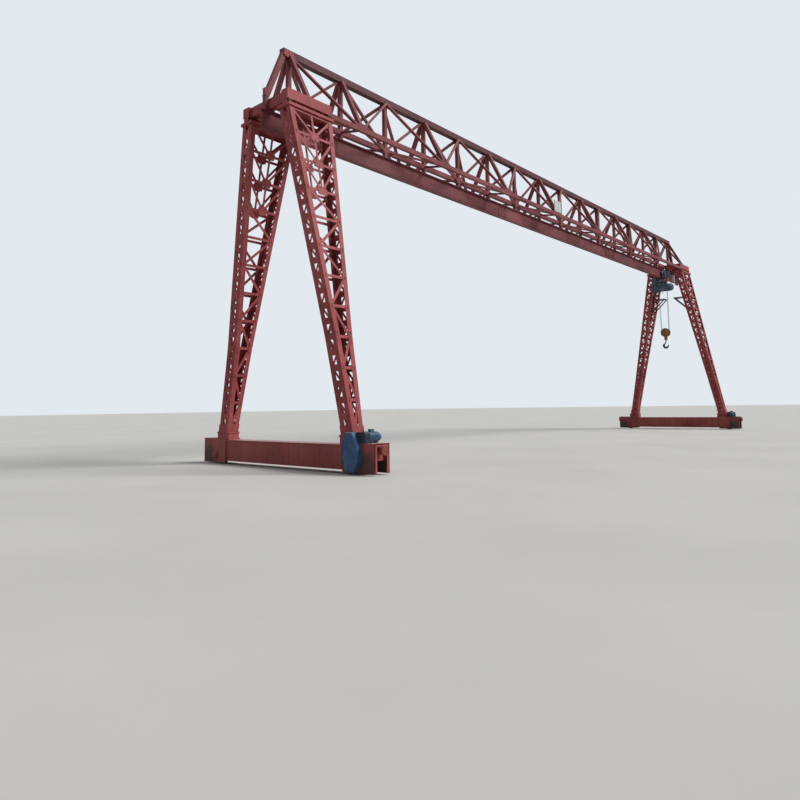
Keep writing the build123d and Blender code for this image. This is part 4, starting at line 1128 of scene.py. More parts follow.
def chainCase(store, end):
    # sheet case with broken front edges, a raised panel, a rim on the housing and bolted covers on its shafts
    outline, edge, rim = caseLook["outline"], caseLook["edge"], caseLook["rim"]
    panel, rise = caseLook["panelInset"], caseLook["panelRise"]
    seat, face = (end * (crane["frameX"] + caseLook[key]) for key in ("seatX", "faceX"))
    rimTop = seat + end * caseLook["rimThick"]
    layers = [(-rim, seat), (-rim, rimTop), (0, rimTop), (0, face - end * edge), (edge, face), (panel, face),
              (panel + rise, face + end * rise)]
    points = [Vector((x, y, z)) for inset, x in layers for y, z in shrunkOutline(outline, inset)]
    addFaces(store, points, ringFaces(len(layers), len(outline)))
    for y, z, radius in caseLook["covers"]:
        profile = [(0, radius), (0.004, radius), (0.008, radius * 0.86)]
        addLathe(store, (face + end * rise / 2, y, z), (end, 0, 0), profile, 28)
    for k in range(len(outline)):
        a, b = Vector(outline[k]), Vector(outline[(k + 1) % len(outline)])
        out = Vector((a.y - b.y, b.x - a.x)).normalized() * caseLook["boltInset"]
        for share in caseLook["boltShares"]:
            spot = a.lerp(b, share) - out
            addBolt(store, (face - end * 0.001, spot.x, spot.y), (end, 0, 0), caseLook["bolt"], stud=False)


reducerLook = {
    "outerX": 15.094, "innerX": 15.246, "frontY": -3.210, "backY": -2.905,
    "flangeReach": 0.012, "flangeHalf": 0.009,
    "boltXs": (15.115, 15.17, 15.225), "boltReach": 0.004, "bolt": 0.008,
    "ribXs": (15.13, 15.21), "ribHalf": 0.005, "ribReach": 0.010, "ribLow": 0.735,
    "breatherSpot": (15.17, -3.06, 0.985),
    "breather": [(0, 0.016), (0.02, 0.016), (0.02, 0.010), (0.035, 0.010), (0.035, 0.02), (0.05, 0.018)],
    "footReach": 0.03, "footIn": 0.02, "footZ": (0.73, 0.745),
    "footBoltXs": (15.12, 15.22), "footBoltReach": 0.014, "footBolt": 0.010,
}


def reducer(store, end):
    # parting flange with bolts, ribs and a breather on the reducer, and its foot in front
    look, z = reducerLook, crane["driveAxisZ"]
    y0, y1, half, reach = look["frontY"], look["backY"], look["flangeHalf"], look["flangeReach"]
    outer, inner = end * look["outerX"], end * look["innerX"]
    addBlock(store, (outer, y0 - reach, z - half), (inner, y1 + reach, z + half), 0.002)
    rows = (y0 - look["boltReach"], y1 + look["boltReach"])
    addBolts(store, [(end * x, y, z + half) for x in look["boltXs"] for y in rows], (0, 0, 1), look["bolt"])
    half, reach, low = look["ribHalf"], look["ribReach"], look["ribLow"]
    for x in (end * x for x in look["ribXs"]):
        addBlock(store, (x - half, y0 - reach, low), (x + half, y1 + reach, z - half), 0.002)
    x, y, top = look["breatherSpot"]
    addLathe(store, (end * x, y, top), (0, 0, 1), look["breather"], 16)
    low, high = look["footZ"]
    addBlock(store, (outer, y0 - look["footReach"], low), (inner, y0 + look["footIn"], high), 0.003)
    spots = [(end * x, y0 - look["footBoltReach"], high) for x in look["footBoltXs"]]
    addBolts(store, spots, (0, 0, 1), look["footBolt"])


driveLook = {
    "radius": 0.115, "finX": 15.055, "fins": (0.012, 0.26, 26),  # their height, length and number
    "flangeX": 15.092, "flange": [(0, 0.135), (0.014, 0.135), (0.016, 0.132), (0.016, 0.118)],
    "boltX": 15.078, "bolts": (0.125, 8), "bolt": 0.008,
    "shieldX": 14.790, "shield": [(0, 0.119), (0.006, 0.122), (0.03, 0.122), (0.034, 0.112)],
    "grilleX": 14.690, "grilleRadius": 0.092, "grillePitch": 0.017, "grilleRings": 5, "grilleWire": 0.006,
    "spokeX": 14.687, "spokeCount": 4, "spokeTurn": 0.4, "spoke": 0.003,
    "boxX": 14.93, "boxSize": (0.12, 0.10, 0.07), "boxSunk": 0.008, "lidReach": 0.004, "lidThick": 0.012,
    "lidBolt": 0.005, "lidBoltInset": 0.012,
    "footXs": (14.79, 14.97), "footWidth": 0.04, "footHalf": 0.10, "footZ": (0.735, 0.765),
}


def lidCorners(low, high, inset):
    return [(a, b) for a in (low[0] + inset, high[0] - inset) for b in (low[1] + inset, high[1] - inset)]


def driveMotor(store, end):
    # fins, flange, terminal box and slotted cowl of the travel motor
    look, n = driveLook, (-end, 0, 0)
    y, z, radius = crane["driveMotorY"], crane["driveAxisZ"], driveLook["radius"]
    addFins(store, (end * look["finX"], y, z), n, radius, *look["fins"])
    addLathe(store, (end * look["flangeX"], y, z), n, look["flange"], 36)
    addBolts(store, spotsRound((end * look["boltX"], y, z), n, *look["bolts"]), n, look["bolt"])
    addLathe(store, (end * look["shieldX"], y, z), n, look["shield"], 36)
    wire = look["grilleWire"]
    for k in range(look["grilleRings"]):
        ring = look["grilleRadius"] - k * look["grillePitch"]
        addRing(store, (end * look["grilleX"], y, z), n, ring, ring - wire, wire, 28)
    hub = (end * look["spokeX"], y, z)
    start = look["spokeTurn"] * look["spokeCount"] / (2 * math.pi)
    for tip in spotsRound(hub, n, look["grilleRadius"], look["spokeCount"], start):
        addTube(store, [tip, hub], look["spoke"], 6)
    sizeX, sizeY, sizeZ = look["boxSize"]
    x, reach, thick = end * look["boxX"], look["lidReach"], look["lidThick"]
    low = (x - sizeX / 2, y - sizeY / 2, z + radius - look["boxSunk"])
    high = (x + sizeX / 2, y + sizeY / 2, z + radius + sizeZ - thick)
    lid = high[2] + thick
    addBlock(store, low, high, 0.006)
    addBlock(store, (low[0] - reach, low[1] - reach, high[2]), (high[0] + reach, high[1] + reach, lid), 0.003)
    spots = [(a, b, lid) for a, b in lidCorners(low, high, look["lidBoltInset"])]
    addBolts(store, spots, (0, 0, 1), look["lidBolt"], stud=False)
    (low, high), half = look["footZ"], look["footHalf"]
    for x in look["footXs"]:
        addBlock(store, (end * x, y - half, low), (end * (x + look["footWidth"]), y + half, high), 0.004)


chainCases = buildPiece(chainCase, "chainCases", paintBlue, "gantry", endPlaces)
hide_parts("drive_covers")
for endName, end in ends.items():
    buildPiece(reducer, f"reducerTrim_{endName}", paintGrey, "gantry", [(end,)])
    buildPiece(driveMotor, f"driveMotorTrim_{endName}", paintBlue, "gantry", [(end,)])
print("drives done")


# The hoist, across the girder: trolley, drum with its shroud, motor, reducer and control box

hx, hz = crane["hoistX"], crane["hoistZ"]
toFront, toBack = (0, -1, 0), (0, 1, 0)

trolleyLook = {
    "plateY": 0.144, "halfX": 0.38,
    "ribXs": (-0.12, 0.12), "ribHalf": 0.006, "ribReach": 0.03, "ribZ": (8.87, 9.27),
    "lipReach": 0.018, "lipHeight": 0.010, "lipZs": (8.854, 9.276),
    "bumperX": 0.03, "bumperInside": 0.016, "bumperReach": 0.045, "bumperZ": (9.13, 9.21),
    "padY": 0.165, "padZ": 9.17, "padOut": 0.012,
    "pad": [(0, 0.022), (0.020, 0.024), (0.034, 0.020), (0.038, 0.012)],
    "wheelX": 0.25, "wheelZ": 9.1713, "flangeY": 0.0865, "flangeRadius": 0.079,
    "gearY": -0.100, "gearWidth": 0.020, "tooth": 0.007, "wheelGear": (0.083, 30), "pinion": (0.030, 12),
    "pinionX": -0.118, "pinionZ": 9.088,
    "axleCap": [(0, 0.046), (0.008, 0.046), (0.010, 0.042)], "axleBolt": 0.026,
    "yokeBoltX": 0.04, "yokeBoltY": 0.045,
    "sideBoltZ": 8.975, "sideBolt": 0.014, "lowBoltZ": 8.845, "lowBolt": 0.013,
    "topBoltXs": (-0.34, -0.17, 0.0, 0.17, 0.34), "topBoltZ": 9.25, "topBolt": 0.010,
}


def trolleyPlates(store):
    # stiffeners, lips and bumper brackets on the side plates
    look, half, rib = trolleyLook, trolleyLook["halfX"], trolleyLook["ribHalf"]
    (ribLow, ribHigh), (bumperLow, bumperHigh) = look["ribZ"], look["bumperZ"]
    for side in sides.values():
        y = side * look["plateY"]
        ribY, lipY = y + side * look["ribReach"], y + side * look["lipReach"]
        for x in (hx + x for x in look["ribXs"]):
            addBlock(store, (x - rib, y, ribLow), (x + rib, ribY, ribHigh), 0.002)
        for z in look["lipZs"]:
            addBlock(store, (hx - half, y, z), (hx + half, lipY, z + look["lipHeight"]), 0.002)
        for sign in (-1, 1):
            x = hx + sign * half
            addBlock(store, (x - sign * look["bumperX"], y - side * look["bumperInside"], bumperLow),
                     (x + sign * look["padOut"], y + side * look["bumperReach"], bumperHigh), 0.004)


guardLook = {
    "low": 9.23, "top": 9.56, "inside": 0.012, "outside": 0.004,
    "strapXs": (-0.26, 0.0, 0.26), "strapHalf": 0.02, "strapReach": 0.022, "strapZ": (9.24, 9.55),
    # relay box and gear case: along X, up and down, and how far they stand out
    "boxes": (((-0.32, -0.10), (9.08, 9.40), 0.13), ((-0.02, 0.34), (9.13, 9.50), 0.20)),
    "boxSunk": 0.01, "coverThick": 0.012, "coverInset": 0.02, "boltInset": 0.04, "bolt": 0.009,
}


def carriageGuards(store):
    # upper guard plates beside the track's web, and the relay box and gear case on the front one
    look, half, plateY = guardLook, trolleyLook["halfX"], trolleyLook["plateY"]
    strap, (strapLow, strapHigh), inset = look["strapHalf"], look["strapZ"], look["coverInset"]
    for side in sides.values():
        y = side * plateY
        addBlock(store, (hx - half, y - side * look["inside"], look["low"]),
                 (hx + half, y + side * look["outside"], look["top"]), 0.003)
        for x in (hx + x for x in look["strapXs"]):
            strapY = y + side * look["strapReach"]
            addBlock(store, (x - strap, y, strapLow), (x + strap, strapY, strapHigh), 0.003)
    for (lowX, highX), (lowZ, highZ), reach in look["boxes"]:
        x0, x1, face = hx + lowX, hx + highX, -plateY - reach
        cover = face - look["coverThick"]
        addBlock(store, (x0, face, lowZ), (x1, -plateY + look["boxSunk"], highZ), 0.012)
        addBlock(store, (x0 + inset, cover, lowZ + inset), (x1 - inset, face, highZ - inset), 0.004)
        spots = [(x, cover, z) for x, z in lidCorners((x0, lowZ), (x1, highZ), look["boltInset"])]
        addBolts(store, spots, toFront, look["bolt"], stud=False)


def addGear(store, spot, radius, teeth):
    u, v, _ = axesFor(toFront)
    root, outline = radius - trolleyLook["tooth"], []
    for k in range(teeth):
        for share, r in ((0, root), (0.3, root), (0.45, radius), (0.75, radius)):
            angle = 2 * math.pi * (k + share) / teeth
            outline.append((r * math.cos(angle), r * math.sin(angle)))
    addPlate(store, outline, spot, u, v, trolleyLook["gearWidth"])


def trolleyWheels(store):
    # wheel flanges outside the track's lower flange, and toothed rings on the front wheels
    look, radius = trolleyLook, trolleyLook["flangeRadius"]
    profile = [(0, radius * 0.4), (0, radius - 0.004), (0.003, radius), (0.008, radius),
               (0.010, radius * 0.9)]
    for side in sides.values():
        for sign in (-1, 1):
            x = hx + sign * look["wheelX"]
            addLathe(store, (x, side * look["flangeY"], look["wheelZ"]), (0, side, 0), profile, 32)
            if side < 0:
                addGear(store, (x, look["gearY"], look["wheelZ"]), *look["wheelGear"])
    addGear(store, (hx + look["pinionX"], look["gearY"], look["pinionZ"]), *look["pinion"])


def trolleyBolts(store):
    look = trolleyLook
    for side in sides.values():
        y, out = side * look["plateY"], (0, side, 0)
        for sign in (-1, 1):
            x = hx + sign * look["wheelX"]
            addLathe(store, (x, y, look["wheelZ"]), out, look["axleCap"])
            addBolt(store, (x, y + side * look["axleCap"][-1][0], look["wheelZ"]), out, look["axleBolt"])
            acrosses = (x - look["yokeBoltX"], x + look["yokeBoltX"])
            addBolts(store, [(across, y, look["sideBoltZ"]) for across in acrosses], out, look["sideBolt"])
            spots = [(across, side * look["yokeBoltY"], look["lowBoltZ"]) for across in acrosses]
            addBolts(store, spots, (0, 0, -1), look["lowBolt"])
        spots = [(hx + x, y, look["topBoltZ"]) for x in look["topBoltXs"]]
        addBolts(store, spots, out, look["topBolt"], stud=False)


def bumperPads(store):
    look = trolleyLook
    for side in sides.values():
        for sign in (-1, 1):
            x = hx + sign * (look["halfX"] + look["padOut"])
            addLathe(store, (x, side * look["padY"], look["padZ"]), (sign, 0, 0), look["pad"], 20)


drumLook = {
    "half": 0.32, "shroud": 0.230, "sheet": 0.006, "opening": 34, "steps": 44,
    "strapYs": (-0.32, -0.17, 0.15, 0.30), "strapWidth": 0.02, "guideBar": 0.010, "guideOut": 0.003,
    "boltYs": (-0.31, 0.31), "boltCount": 10, "boltFrom": -40, "boltTurn": 260, "bolt": 0.008,
    "hangerXs": (-0.045, 0.045), "hangerYs": (-0.24, 0.24), "hangerZ": 8.845, "hangerBolt": 0.013,
    "rope": 0.008, "pitch": 0.018, "lie": 0.171, "ropeSteps": 20,
    "wound": ((-0.206, 0.206), (0.270, 0.284), (-0.284, -0.270)),
}


def drumRope(store):
    # the layers that stay wound: between the hangers, and one turn outside each
    lie, steps = drumLook["lie"], drumLook["ropeSteps"]
    for first, last in drumLook["wound"]:
        turns = max(1, round((last - first) / drumLook["pitch"]))
        path = []
        for k in range(turns * steps + 1):
            angle = 2 * math.pi * k / steps
            y = first + (last - first) * k / (turns * steps)
            path.append((hx + lie * math.sin(angle), y, hz - lie * math.cos(angle)))
        addTube(store, path, drumLook["rope"], 6)


def drumShroud(store):
    # sheet shroud round the drum, open below for the falls, with straps and rope guide bars
    half, radius, sheet, steps = drumLook["half"], drumLook["shroud"], drumLook["sheet"], drumLook["steps"]
    start, end = -90 + drumLook["opening"], 270 - drumLook["opening"]
    addShell(store, (hx, -half, hz), toBack, radius, sheet, 2 * half, start, end, steps)
    for y in drumLook["strapYs"]:
        addShell(store, (hx, y, hz), toBack, radius + sheet, sheet, drumLook["strapWidth"], start, end, steps)
    bar = radius + drumLook["guideOut"]
    for degrees in (start, end):
        angle = math.radians(degrees)
        x, z = hx + bar * math.cos(angle), hz + bar * math.sin(angle)
        addTube(store, [(x, -half, z), (x, half, z)], drumLook["guideBar"], 10)


def shroudBolts(store):
    radius, count = drumLook["shroud"] + 2 * drumLook["sheet"], drumLook["boltCount"]
    for y in drumLook["boltYs"]:
        for k in range(count):
            angle = math.radians(drumLook["boltFrom"] + k * drumLook["boltTurn"] / (count - 1))
            n = Vector((math.cos(angle), 0, math.sin(angle)))
            addBolt(store, Vector((hx, y, hz)) + n * radius, n, drumLook["bolt"], stud=False)
    spots = [(hx + x, y, drumLook["hangerZ"]) for x in drumLook["hangerXs"] for y in drumLook["hangerYs"]]
    addBolts(store, spots, (0, 0, 1), drumLook["hangerBolt"])


fallLook = {
    "x": 0.06, "lowHighY": ((0.215, 0.2685), (-0.215, -0.2393)), "top": 8.375, "radius": 0.010, "steps": 72,
    "blendTop": 8.30, "blendLow": 6.02,
}


def ropeFalls(store):
    # four falls from the drum to the sheaves; they lengthen with the block, so each has many rings
    low, high, steps = crane["blockZ"], fallLook["top"], fallLook["steps"]
    for x in (hx - fallLook["x"], hx + fallLook["x"]):
        for lowY, highY in fallLook["lowHighY"]:
            shares = [k / steps for k in range(steps + 1)]
            path = [(x, lowY + (highY - lowY) * share, low + (high - low) * share) for share in shares]
            addTube(store, path, fallLook["radius"])


trolleyPieces = [
    (trolleyPlates, "trolleyTrim", paintSlate, "slate_paint"),
    (carriageGuards, "carriageGuards", paintSlate, "slate_paint"),
    (trolleyWheels, "trolleyWheelFlanges", castIron, "slate_paint"),
    (trolleyBolts, "trolleyBolts", boltMetal, "slate_paint"),
    (bumperPads, "bumperPads", rubberPad, "buffer_pad"),
    (drumRope, "drumRope", ropeStrands, "wire_rope"),
]
for maker, name, material, slot in trolleyPieces:
    buildPiece(maker, name, material, "hoist")
falls = buildPiece(ropeFalls, "ropeFalls", ropeStrands, None)
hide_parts("hoist_ropes")
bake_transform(falls)
print("trolley and rope falls done")


hoistMotorLook = {
    "radius": 0.205, "finY": -0.350, "fins": (0.015, 0.150, 34, 0.007),  # height, length, number, thickness
    "flangeY": -0.322, "flange": [(0, 0.242), (0.016, 0.242), (0.019, 0.238), (0.019, 0.21)],
    "shieldY": -0.506, "shield": [(0, 0.212), (0.004, 0.218), (0.018, 0.218), (0.024, 0.208)],
    "lidY": -0.588, "lid": [(0, 0.120), (0.002, 0.120), (0.004, 0.116), (0.004, 0.06)],
    "ribCount": 12, "ribStart": 0.058, "ribLength": 0.056, "ribThick": 0.006,
    "boxLow": (-0.286, -0.478, -0.02), "boxHigh": (-0.196, -0.358, 0.12),
    "boxLid": 0.012, "boxLidReach": 0.004, "boxBolt": 0.005,
    "boltY": -0.341, "bolts": (0.228, 12), "bolt": 0.009,
}


def motorTrim(store):
    # joint flange, cooling fins, end shield and terminal box of the hoist motor
    look = hoistMotorLook
    addLathe(store, (hx, look["flangeY"], hz), toFront, look["flange"], 48)
    addFins(store, (hx, look["finY"], hz), toFront, look["radius"], *look["fins"])
    addLathe(store, (hx, look["shieldY"], hz), toFront, look["shield"], 48)
    addLathe(store, (hx, look["lidY"], hz), toFront, look["lid"], 40)
    thick = look["ribThick"]
    for k in range(look["ribCount"]):
        angle = 2 * math.pi * k / look["ribCount"]
        out = Vector((math.cos(angle), 0, math.sin(angle)))
        base = Vector((hx, look["lidY"] - look["lid"][-1][0], hz)) + out * look["ribStart"]
        base -= Vector(toBack).cross(out) * thick / 2
        addPlate(store, rectangle(0, 0, look["ribLength"], thick), base, out, Vector(toFront), thick)
    lid, reach = look["boxLid"], look["boxLidReach"]
    low, high = (Vector((hx, 0, hz)) + Vector(look[key]) for key in ("boxLow", "boxHigh"))
    addBlock(store, low, high, 0.006)
    addBlock(store, (low.x - lid, low.y - reach, low.z - reach),
             (low.x, high.y + reach, high.z + reach), 0.003)
    spots = [(low.x - lid, y, z) for y, z in lidCorners(low[1:], high[1:], lid)]
    addBolts(store, spots, (-1, 0, 0), look["boxBolt"], stud=False)


def motorBolts(store):
    spots = spotsRound((hx, hoistMotorLook["boltY"], hz), toFront, *hoistMotorLook["bolts"])
    addBolts(store, spots, toFront, hoistMotorLook["bolt"], stud=False)


gearLook = {
    "half": 0.22, "corner": 0.09, "endY": 0.56,
    "flanges": ((0.318, 0.020, 0.018), (0.470, 0.014, 0.014), (0.484, 0.014, 0.014)),  # y, reach, thickness
    "lidInset": 0.035, "lidCorner": 0.07, "lidThick": 0.008,
    "bearing": [(0, 0.085), (0.012, 0.082), (0.016, 0.074), (0.018, 0.04)],
    "sideCapAt": 0.11, "sideCap": [(0, 0.045), (0.010, 0.043), (0.012, 0.038)],
    "plugAt": (-0.05, 0.004, -0.165), "plug": [(0, 0.018), (0.012, 0.018), (0.014, 0.012)],
    "ribXs": (-0.14, 0.0, 0.14), "ribHalf": 0.005, "ribYs": (0.338, 0.468), "ribDrop": 0.012,
    "lidBoltInset": 0.052, "lidBolt": 0.010, "rimBoltX": 0.224, "rimBoltY": 0.498, "rimBolt": 0.009,
    "rimBoltZs": (-0.11, -0.04, 0.04, 0.11),
}


def gearTrim(store):
    # joint flange, cover, bearing cap, ribs and plugs of the hoist's reducer
    look, half, up, along = gearLook, gearLook["half"], (0, 0, 1), (1, 0, 0)
    for y, grow, thick in look["flanges"]:
        outline = roundedOutline(half + grow, half + grow, look["corner"] + grow)
        addPlate(store, outline, (hx, y, hz), up, along, thick)
    lidHalf, face = half - look["lidInset"], look["endY"] + look["lidThick"]
    outline = roundedOutline(lidHalf, lidHalf, look["lidCorner"])
    addPlate(store, outline, (hx, look["endY"], hz), up, along, look["lidThick"])
    addLathe(store, (hx, face, hz), toBack, look["bearing"], 32)
    addLathe(store, (hx + look["sideCapAt"], face, hz - look["sideCapAt"]), toBack, look["sideCap"])
    x, y, z = look["plugAt"]
    addLathe(store, (hx + x, look["endY"] + y, hz + z), toBack, look["plug"], 6)
    (y0, y1), rib, drop = look["ribYs"], look["ribHalf"], look["ribDrop"]
    for x in look["ribXs"]:
        addBlock(store, (hx + x - rib, y0, hz - half - drop), (hx + x + rib, y1, hz - half + 0.004), 0.002)


def gearBolts(store):
    look, half = gearLook, gearLook["half"] - gearLook["lidBoltInset"]
    shares = [(a, b) for a in (-1, 1) for b in (-0.5, 0, 0.5)]
    spots = [(hx + a * half, look["endY"] + look["lidThick"], hz + b * half)
             for a, b in shares + [(b, a) for a, b in shares]]
    addBolts(store, spots, toBack, look["lidBolt"], stud=False)
    columns = (hx - look["rimBoltX"], hx + look["rimBoltX"])
    spots = [(x, look["rimBoltY"], hz + b) for x in columns for b in look["rimBoltZs"]]
    addBolts(store, spots, toBack, look["rimBolt"])


boxLook = {
    "low": (-0.16, 0.33, 8.735), "high": (0.16, 0.55, 9.155),
    "hingeHalf": 0.03, "hingeRadius": 0.008, "hingeInset": 0.07,
    "latch": [(0, 0.016), (0.012, 0.016), (0.015, 0.011)],
    "gland": [(0, 0.017), (0.012, 0.017), (0.012, 0.013), (0.026, 0.012)], "glandX": 0.02,
    "glandRises": (0.09, 0.17, 0.25),
    "conduit": 0.009, "conduitParts": 4,
}


def controlBox(store):
    # door, hinges, rain lid, latch and glands of the electrical box
    x0, y0, z0 = boxLook["low"]
    x1, y1, z1 = boxLook["high"]
    face = hx + x0
    door = face - 0.010
    addBlock(store, (door, y0 + 0.010, z0 + 0.012), (face, y1 - 0.010, z1 - 0.012), 0.004)
    addBlock(store, (door - 0.003, y0 + 0.045, z0 + 0.05), (door + 0.001, y1 - 0.045, z1 - 0.05), 0.003)
    addBlock(store, (face - 0.024, y0 - 0.012, z1), (hx + x1 + 0.014, y1 + 0.012, z1 + 0.008), 0.003)
    addBlock(store, (face - 0.026, y0 - 0.012, z1 - 0.018), (face - 0.022, y1 + 0.012, z1 + 0.006), 0.001)
    y, half = y1 - 0.004, boxLook["hingeHalf"]
    for z in (z0 + boxLook["hingeInset"], z1 - boxLook["hingeInset"]):
        addTube(store, [(door, y, z - half), (door, y, z + half)], boxLook["hingeRadius"], 10)
    addLathe(store, (door, y0 + 0.028, (z0 + z1) / 2), (-1, 0, 0), boxLook["latch"], 18)
    for rise in boxLook["glandRises"]:
        addLathe(store, (hx + boxLook["glandX"], y0, z0 + rise), toFront, boxLook["gland"], 12)


def smoothPath(points, parts):
    # rounded line through the points
    points = [Vector(p) for p in points]
    result = []
    for k in range(len(points) - 1):
        before, after = points[max(k - 1, 0)], points[min(k + 2, len(points) - 1)]
        a, b = points[k], points[k + 1]
        for m in range(parts):
            t = m / parts
            result.append(0.5 * ((2 * a) + (b - before) * t + (2 * before - 5 * a + 4 * b - after) * t * t
                                 + (3 * a - before - 3 * b + after) * t ** 3))
    return result + [points[-1]]


def conduits(store):
    # rigid conduits from the control box's glands to the two motors
    z0, y0 = boxLook["low"][2], boxLook["low"][1] - 0.02
    low, high, _ = (z0 + rise for rise in boxLook["glandRises"])
    toHoistMotor = [(0.02, y0, low), (-0.02, 0.27, low - 0.002), (-0.13, 0.25, 8.815), (-0.20, 0.20, 8.742),
                    (-0.232, 0.05, 8.700), (-0.240, -0.28, 8.690), (-0.244, -0.36, 8.680),
                    (-0.246, -0.40, 8.632)]
    toTravelMotor = [(0.02, y0, high), (-0.06, 0.29, high + 0.002), (-0.36, 0.25, 8.900),
                     (-0.43, 0.15, 8.880), (-0.43, -0.18, 8.880), (-0.38, -0.28, 8.93), (-0.330, -0.30, 8.95)]
    for run in (toHoistMotor, toTravelMotor):
        path = smoothPath([(hx + x, y, z) for x, y, z in run], boxLook["conduitParts"])
        addTube(store, path, boxLook["conduit"])


travelMotorLook = {
    "x": -0.215, "z": 8.95, "radius": 0.100, "finY": -0.172, "fins": (0.010, 0.150, 22, 0.005),
    "flangeY": -0.144, "flange": [(0, 0.122), (0.014, 0.122), (0.016, 0.118), (0.016, 0.1)],
    "shieldY": -0.330,
    "shield": [(0, 0.104), (0.004, 0.108), (0.070, 0.108), (0.084, 0.100), (0.096, 0.080), (0.100, 0.05)],
    "boxLow": (-0.150, -0.300, -0.045), "boxHigh": (-0.092, -0.210, 0.045),
    "boltY": -0.160, "bolts": (0.110, 6), "bolt": 0.008,
}


def travelMotorTrim(store):
    # flange, fins, end shield and terminal box of the trolley's own motor
    look = travelMotorLook
    x, z = hx + look["x"], look["z"]
    addLathe(store, (x, look["flangeY"], z), toFront, look["flange"], 36)
    addFins(store, (x, look["finY"], z), toFront, look["radius"], *look["fins"])
    addLathe(store, (x, look["shieldY"], z), toFront, look["shield"], 36)
    low, high = (Vector((x, 0, z)) + Vector(look[key]) for key in ("boxLow", "boxHigh"))
    addBlock(store, low, high, 0.006)
    addBolts(store, spotsRound((x, look["boltY"], z), toFront, *look["bolts"]), toFront, look["bolt"])


limiterLook = {
    "x": -0.250, "y": -0.060, "clampHalf": (0.020, 0.035), "clampZ": (8.40, 8.46),
    "rod": 0.009, "rodZ": (8.41, 8.13),
    "weightZ": 8.20, "weight": [(0, 0.020), (0.006, 0.024), (0.066, 0.024), (0.072, 0.018)],
}


def limiterRod(store):
    # weighted lever of the lifting limiter, hanging beside the falls
    x, y = hx + limiterLook["x"], limiterLook["y"]
    (halfX, halfY), (low, high) = limiterLook["clampHalf"], limiterLook["clampZ"]
    addBlock(store, (x - halfX, y - halfY, low), (x + halfX, y + halfY, high), 0.004)
    addTube(store, [(x, y, z) for z in limiterLook["rodZ"]], limiterLook["rod"], 10)
    addLathe(store, (x, y, limiterLook["weightZ"]), (0, 0, -1), limiterLook["weight"], 18)


hoistPieces = [
    (drumShroud, "drumShroud", paintSlate, "slate_paint"),
    (shroudBolts, "shroudBolts", paintSlate, "slate_paint"),
    (motorTrim, "hoistMotorTrim", paintSlate, "slate_paint"),
    (motorBolts, "hoistMotorBolts", boltMetal, "slate_paint"),
    (gearTrim, "hoistReducerTrim", paintSlate, "slate_paint"),
    (gearBolts, "hoistReducerBolts", boltMetal, "slate_paint"),
    (controlBox, "controlBoxTrim", paintSlate, "slate_paint"),
    (conduits, "hoistConduits", cableSheath, "cable_sheath"),
    (travelMotorTrim, "travelMotorTrim", paintRed, "red_paint"),
    (limiterRod, "limiterRod", bareSteel, "slate_paint"),
]
for maker, name, material, slot in hoistPieces:
    buildPiece(maker, name, material, "hoist")
print("hoist done")


# Hook block with its two sheaves

blockLook = {
    "halfY": 0.25, "low": 5.56, "high": 6.005, "corner": 0.19, "cheekX": 0.107,
    "bandThick": 0.006, "bandTop": 5.74, "bandGap": 0.098, "lipWidth": 0.022, "lipThick": 0.007,
    "keeper": (0.055, (5.795, 5.835), 0.010), "keeperBolts": (0.04, 5.815, 0.009),
    "pinCap": [(0, 0.050), (0.012, 0.050), (0.015, 0.044)], "pinBolt": 0.022,
    "rollX": 0.095, "rollY": 0.1972, "roll": 0.010, "rollZs": (5.70, 5.90),
    "bolt": 0.014, "boltY": 0.197, "lowBoltY": 0.06, "lowBoltZ": 5.60,
    "rimRadius": 0.262, "rimX": 0.015, "ropeLine": 0.215,
    "collarZ": 5.352, "collar": [(0, 0.084), (0.010, 0.088), (0.022, 0.088), (0.026, 0.080), (0.026, 0.05)],
    "thrustZ": 5.556, "thrust": [(0, 0.112), (0.012, 0.112), (0.016, 0.104)],
}
blockMiddle = (blockLook["low"] + blockLook["high"]) / 2
blockHalfZ = (blockLook["high"] - blockLook["low"]) / 2


def blockBand(store):
    # sheet band round the lower half of the cheeks, leaving the top open for the falls
    look, wide = blockLook, blockLook["cheekX"]
    outline = [(y, z) for y, z in roundedOutline(look["halfY"], blockHalfZ, look["corner"], 10)
               if blockMiddle + z <= look["bandTop"] and abs(y) > look["bandGap"]]
    outline.sort(key=lambda p: math.atan2(p[0], -p[1]))
    for sign in (-1, 1):
        part = [p for p in outline if p[0] * sign > 0]
        for (a, b), (c, d) in zip(part, part[1:]):
            n = Vector((0, b - d, c - a)).normalized()
            if n.y * a + n.z * b < 0:
                n = -n
            quad = [Vector((hx + x, y, blockMiddle + z)) for x, y, z in
                    ((-wide, a, b), (wide, a, b), (wide, c, d), (-wide, c, d))]
            points = quad + [p + n * look["bandThick"] for p in quad]
            addFaces(store, points, ringFaces(2, 4))


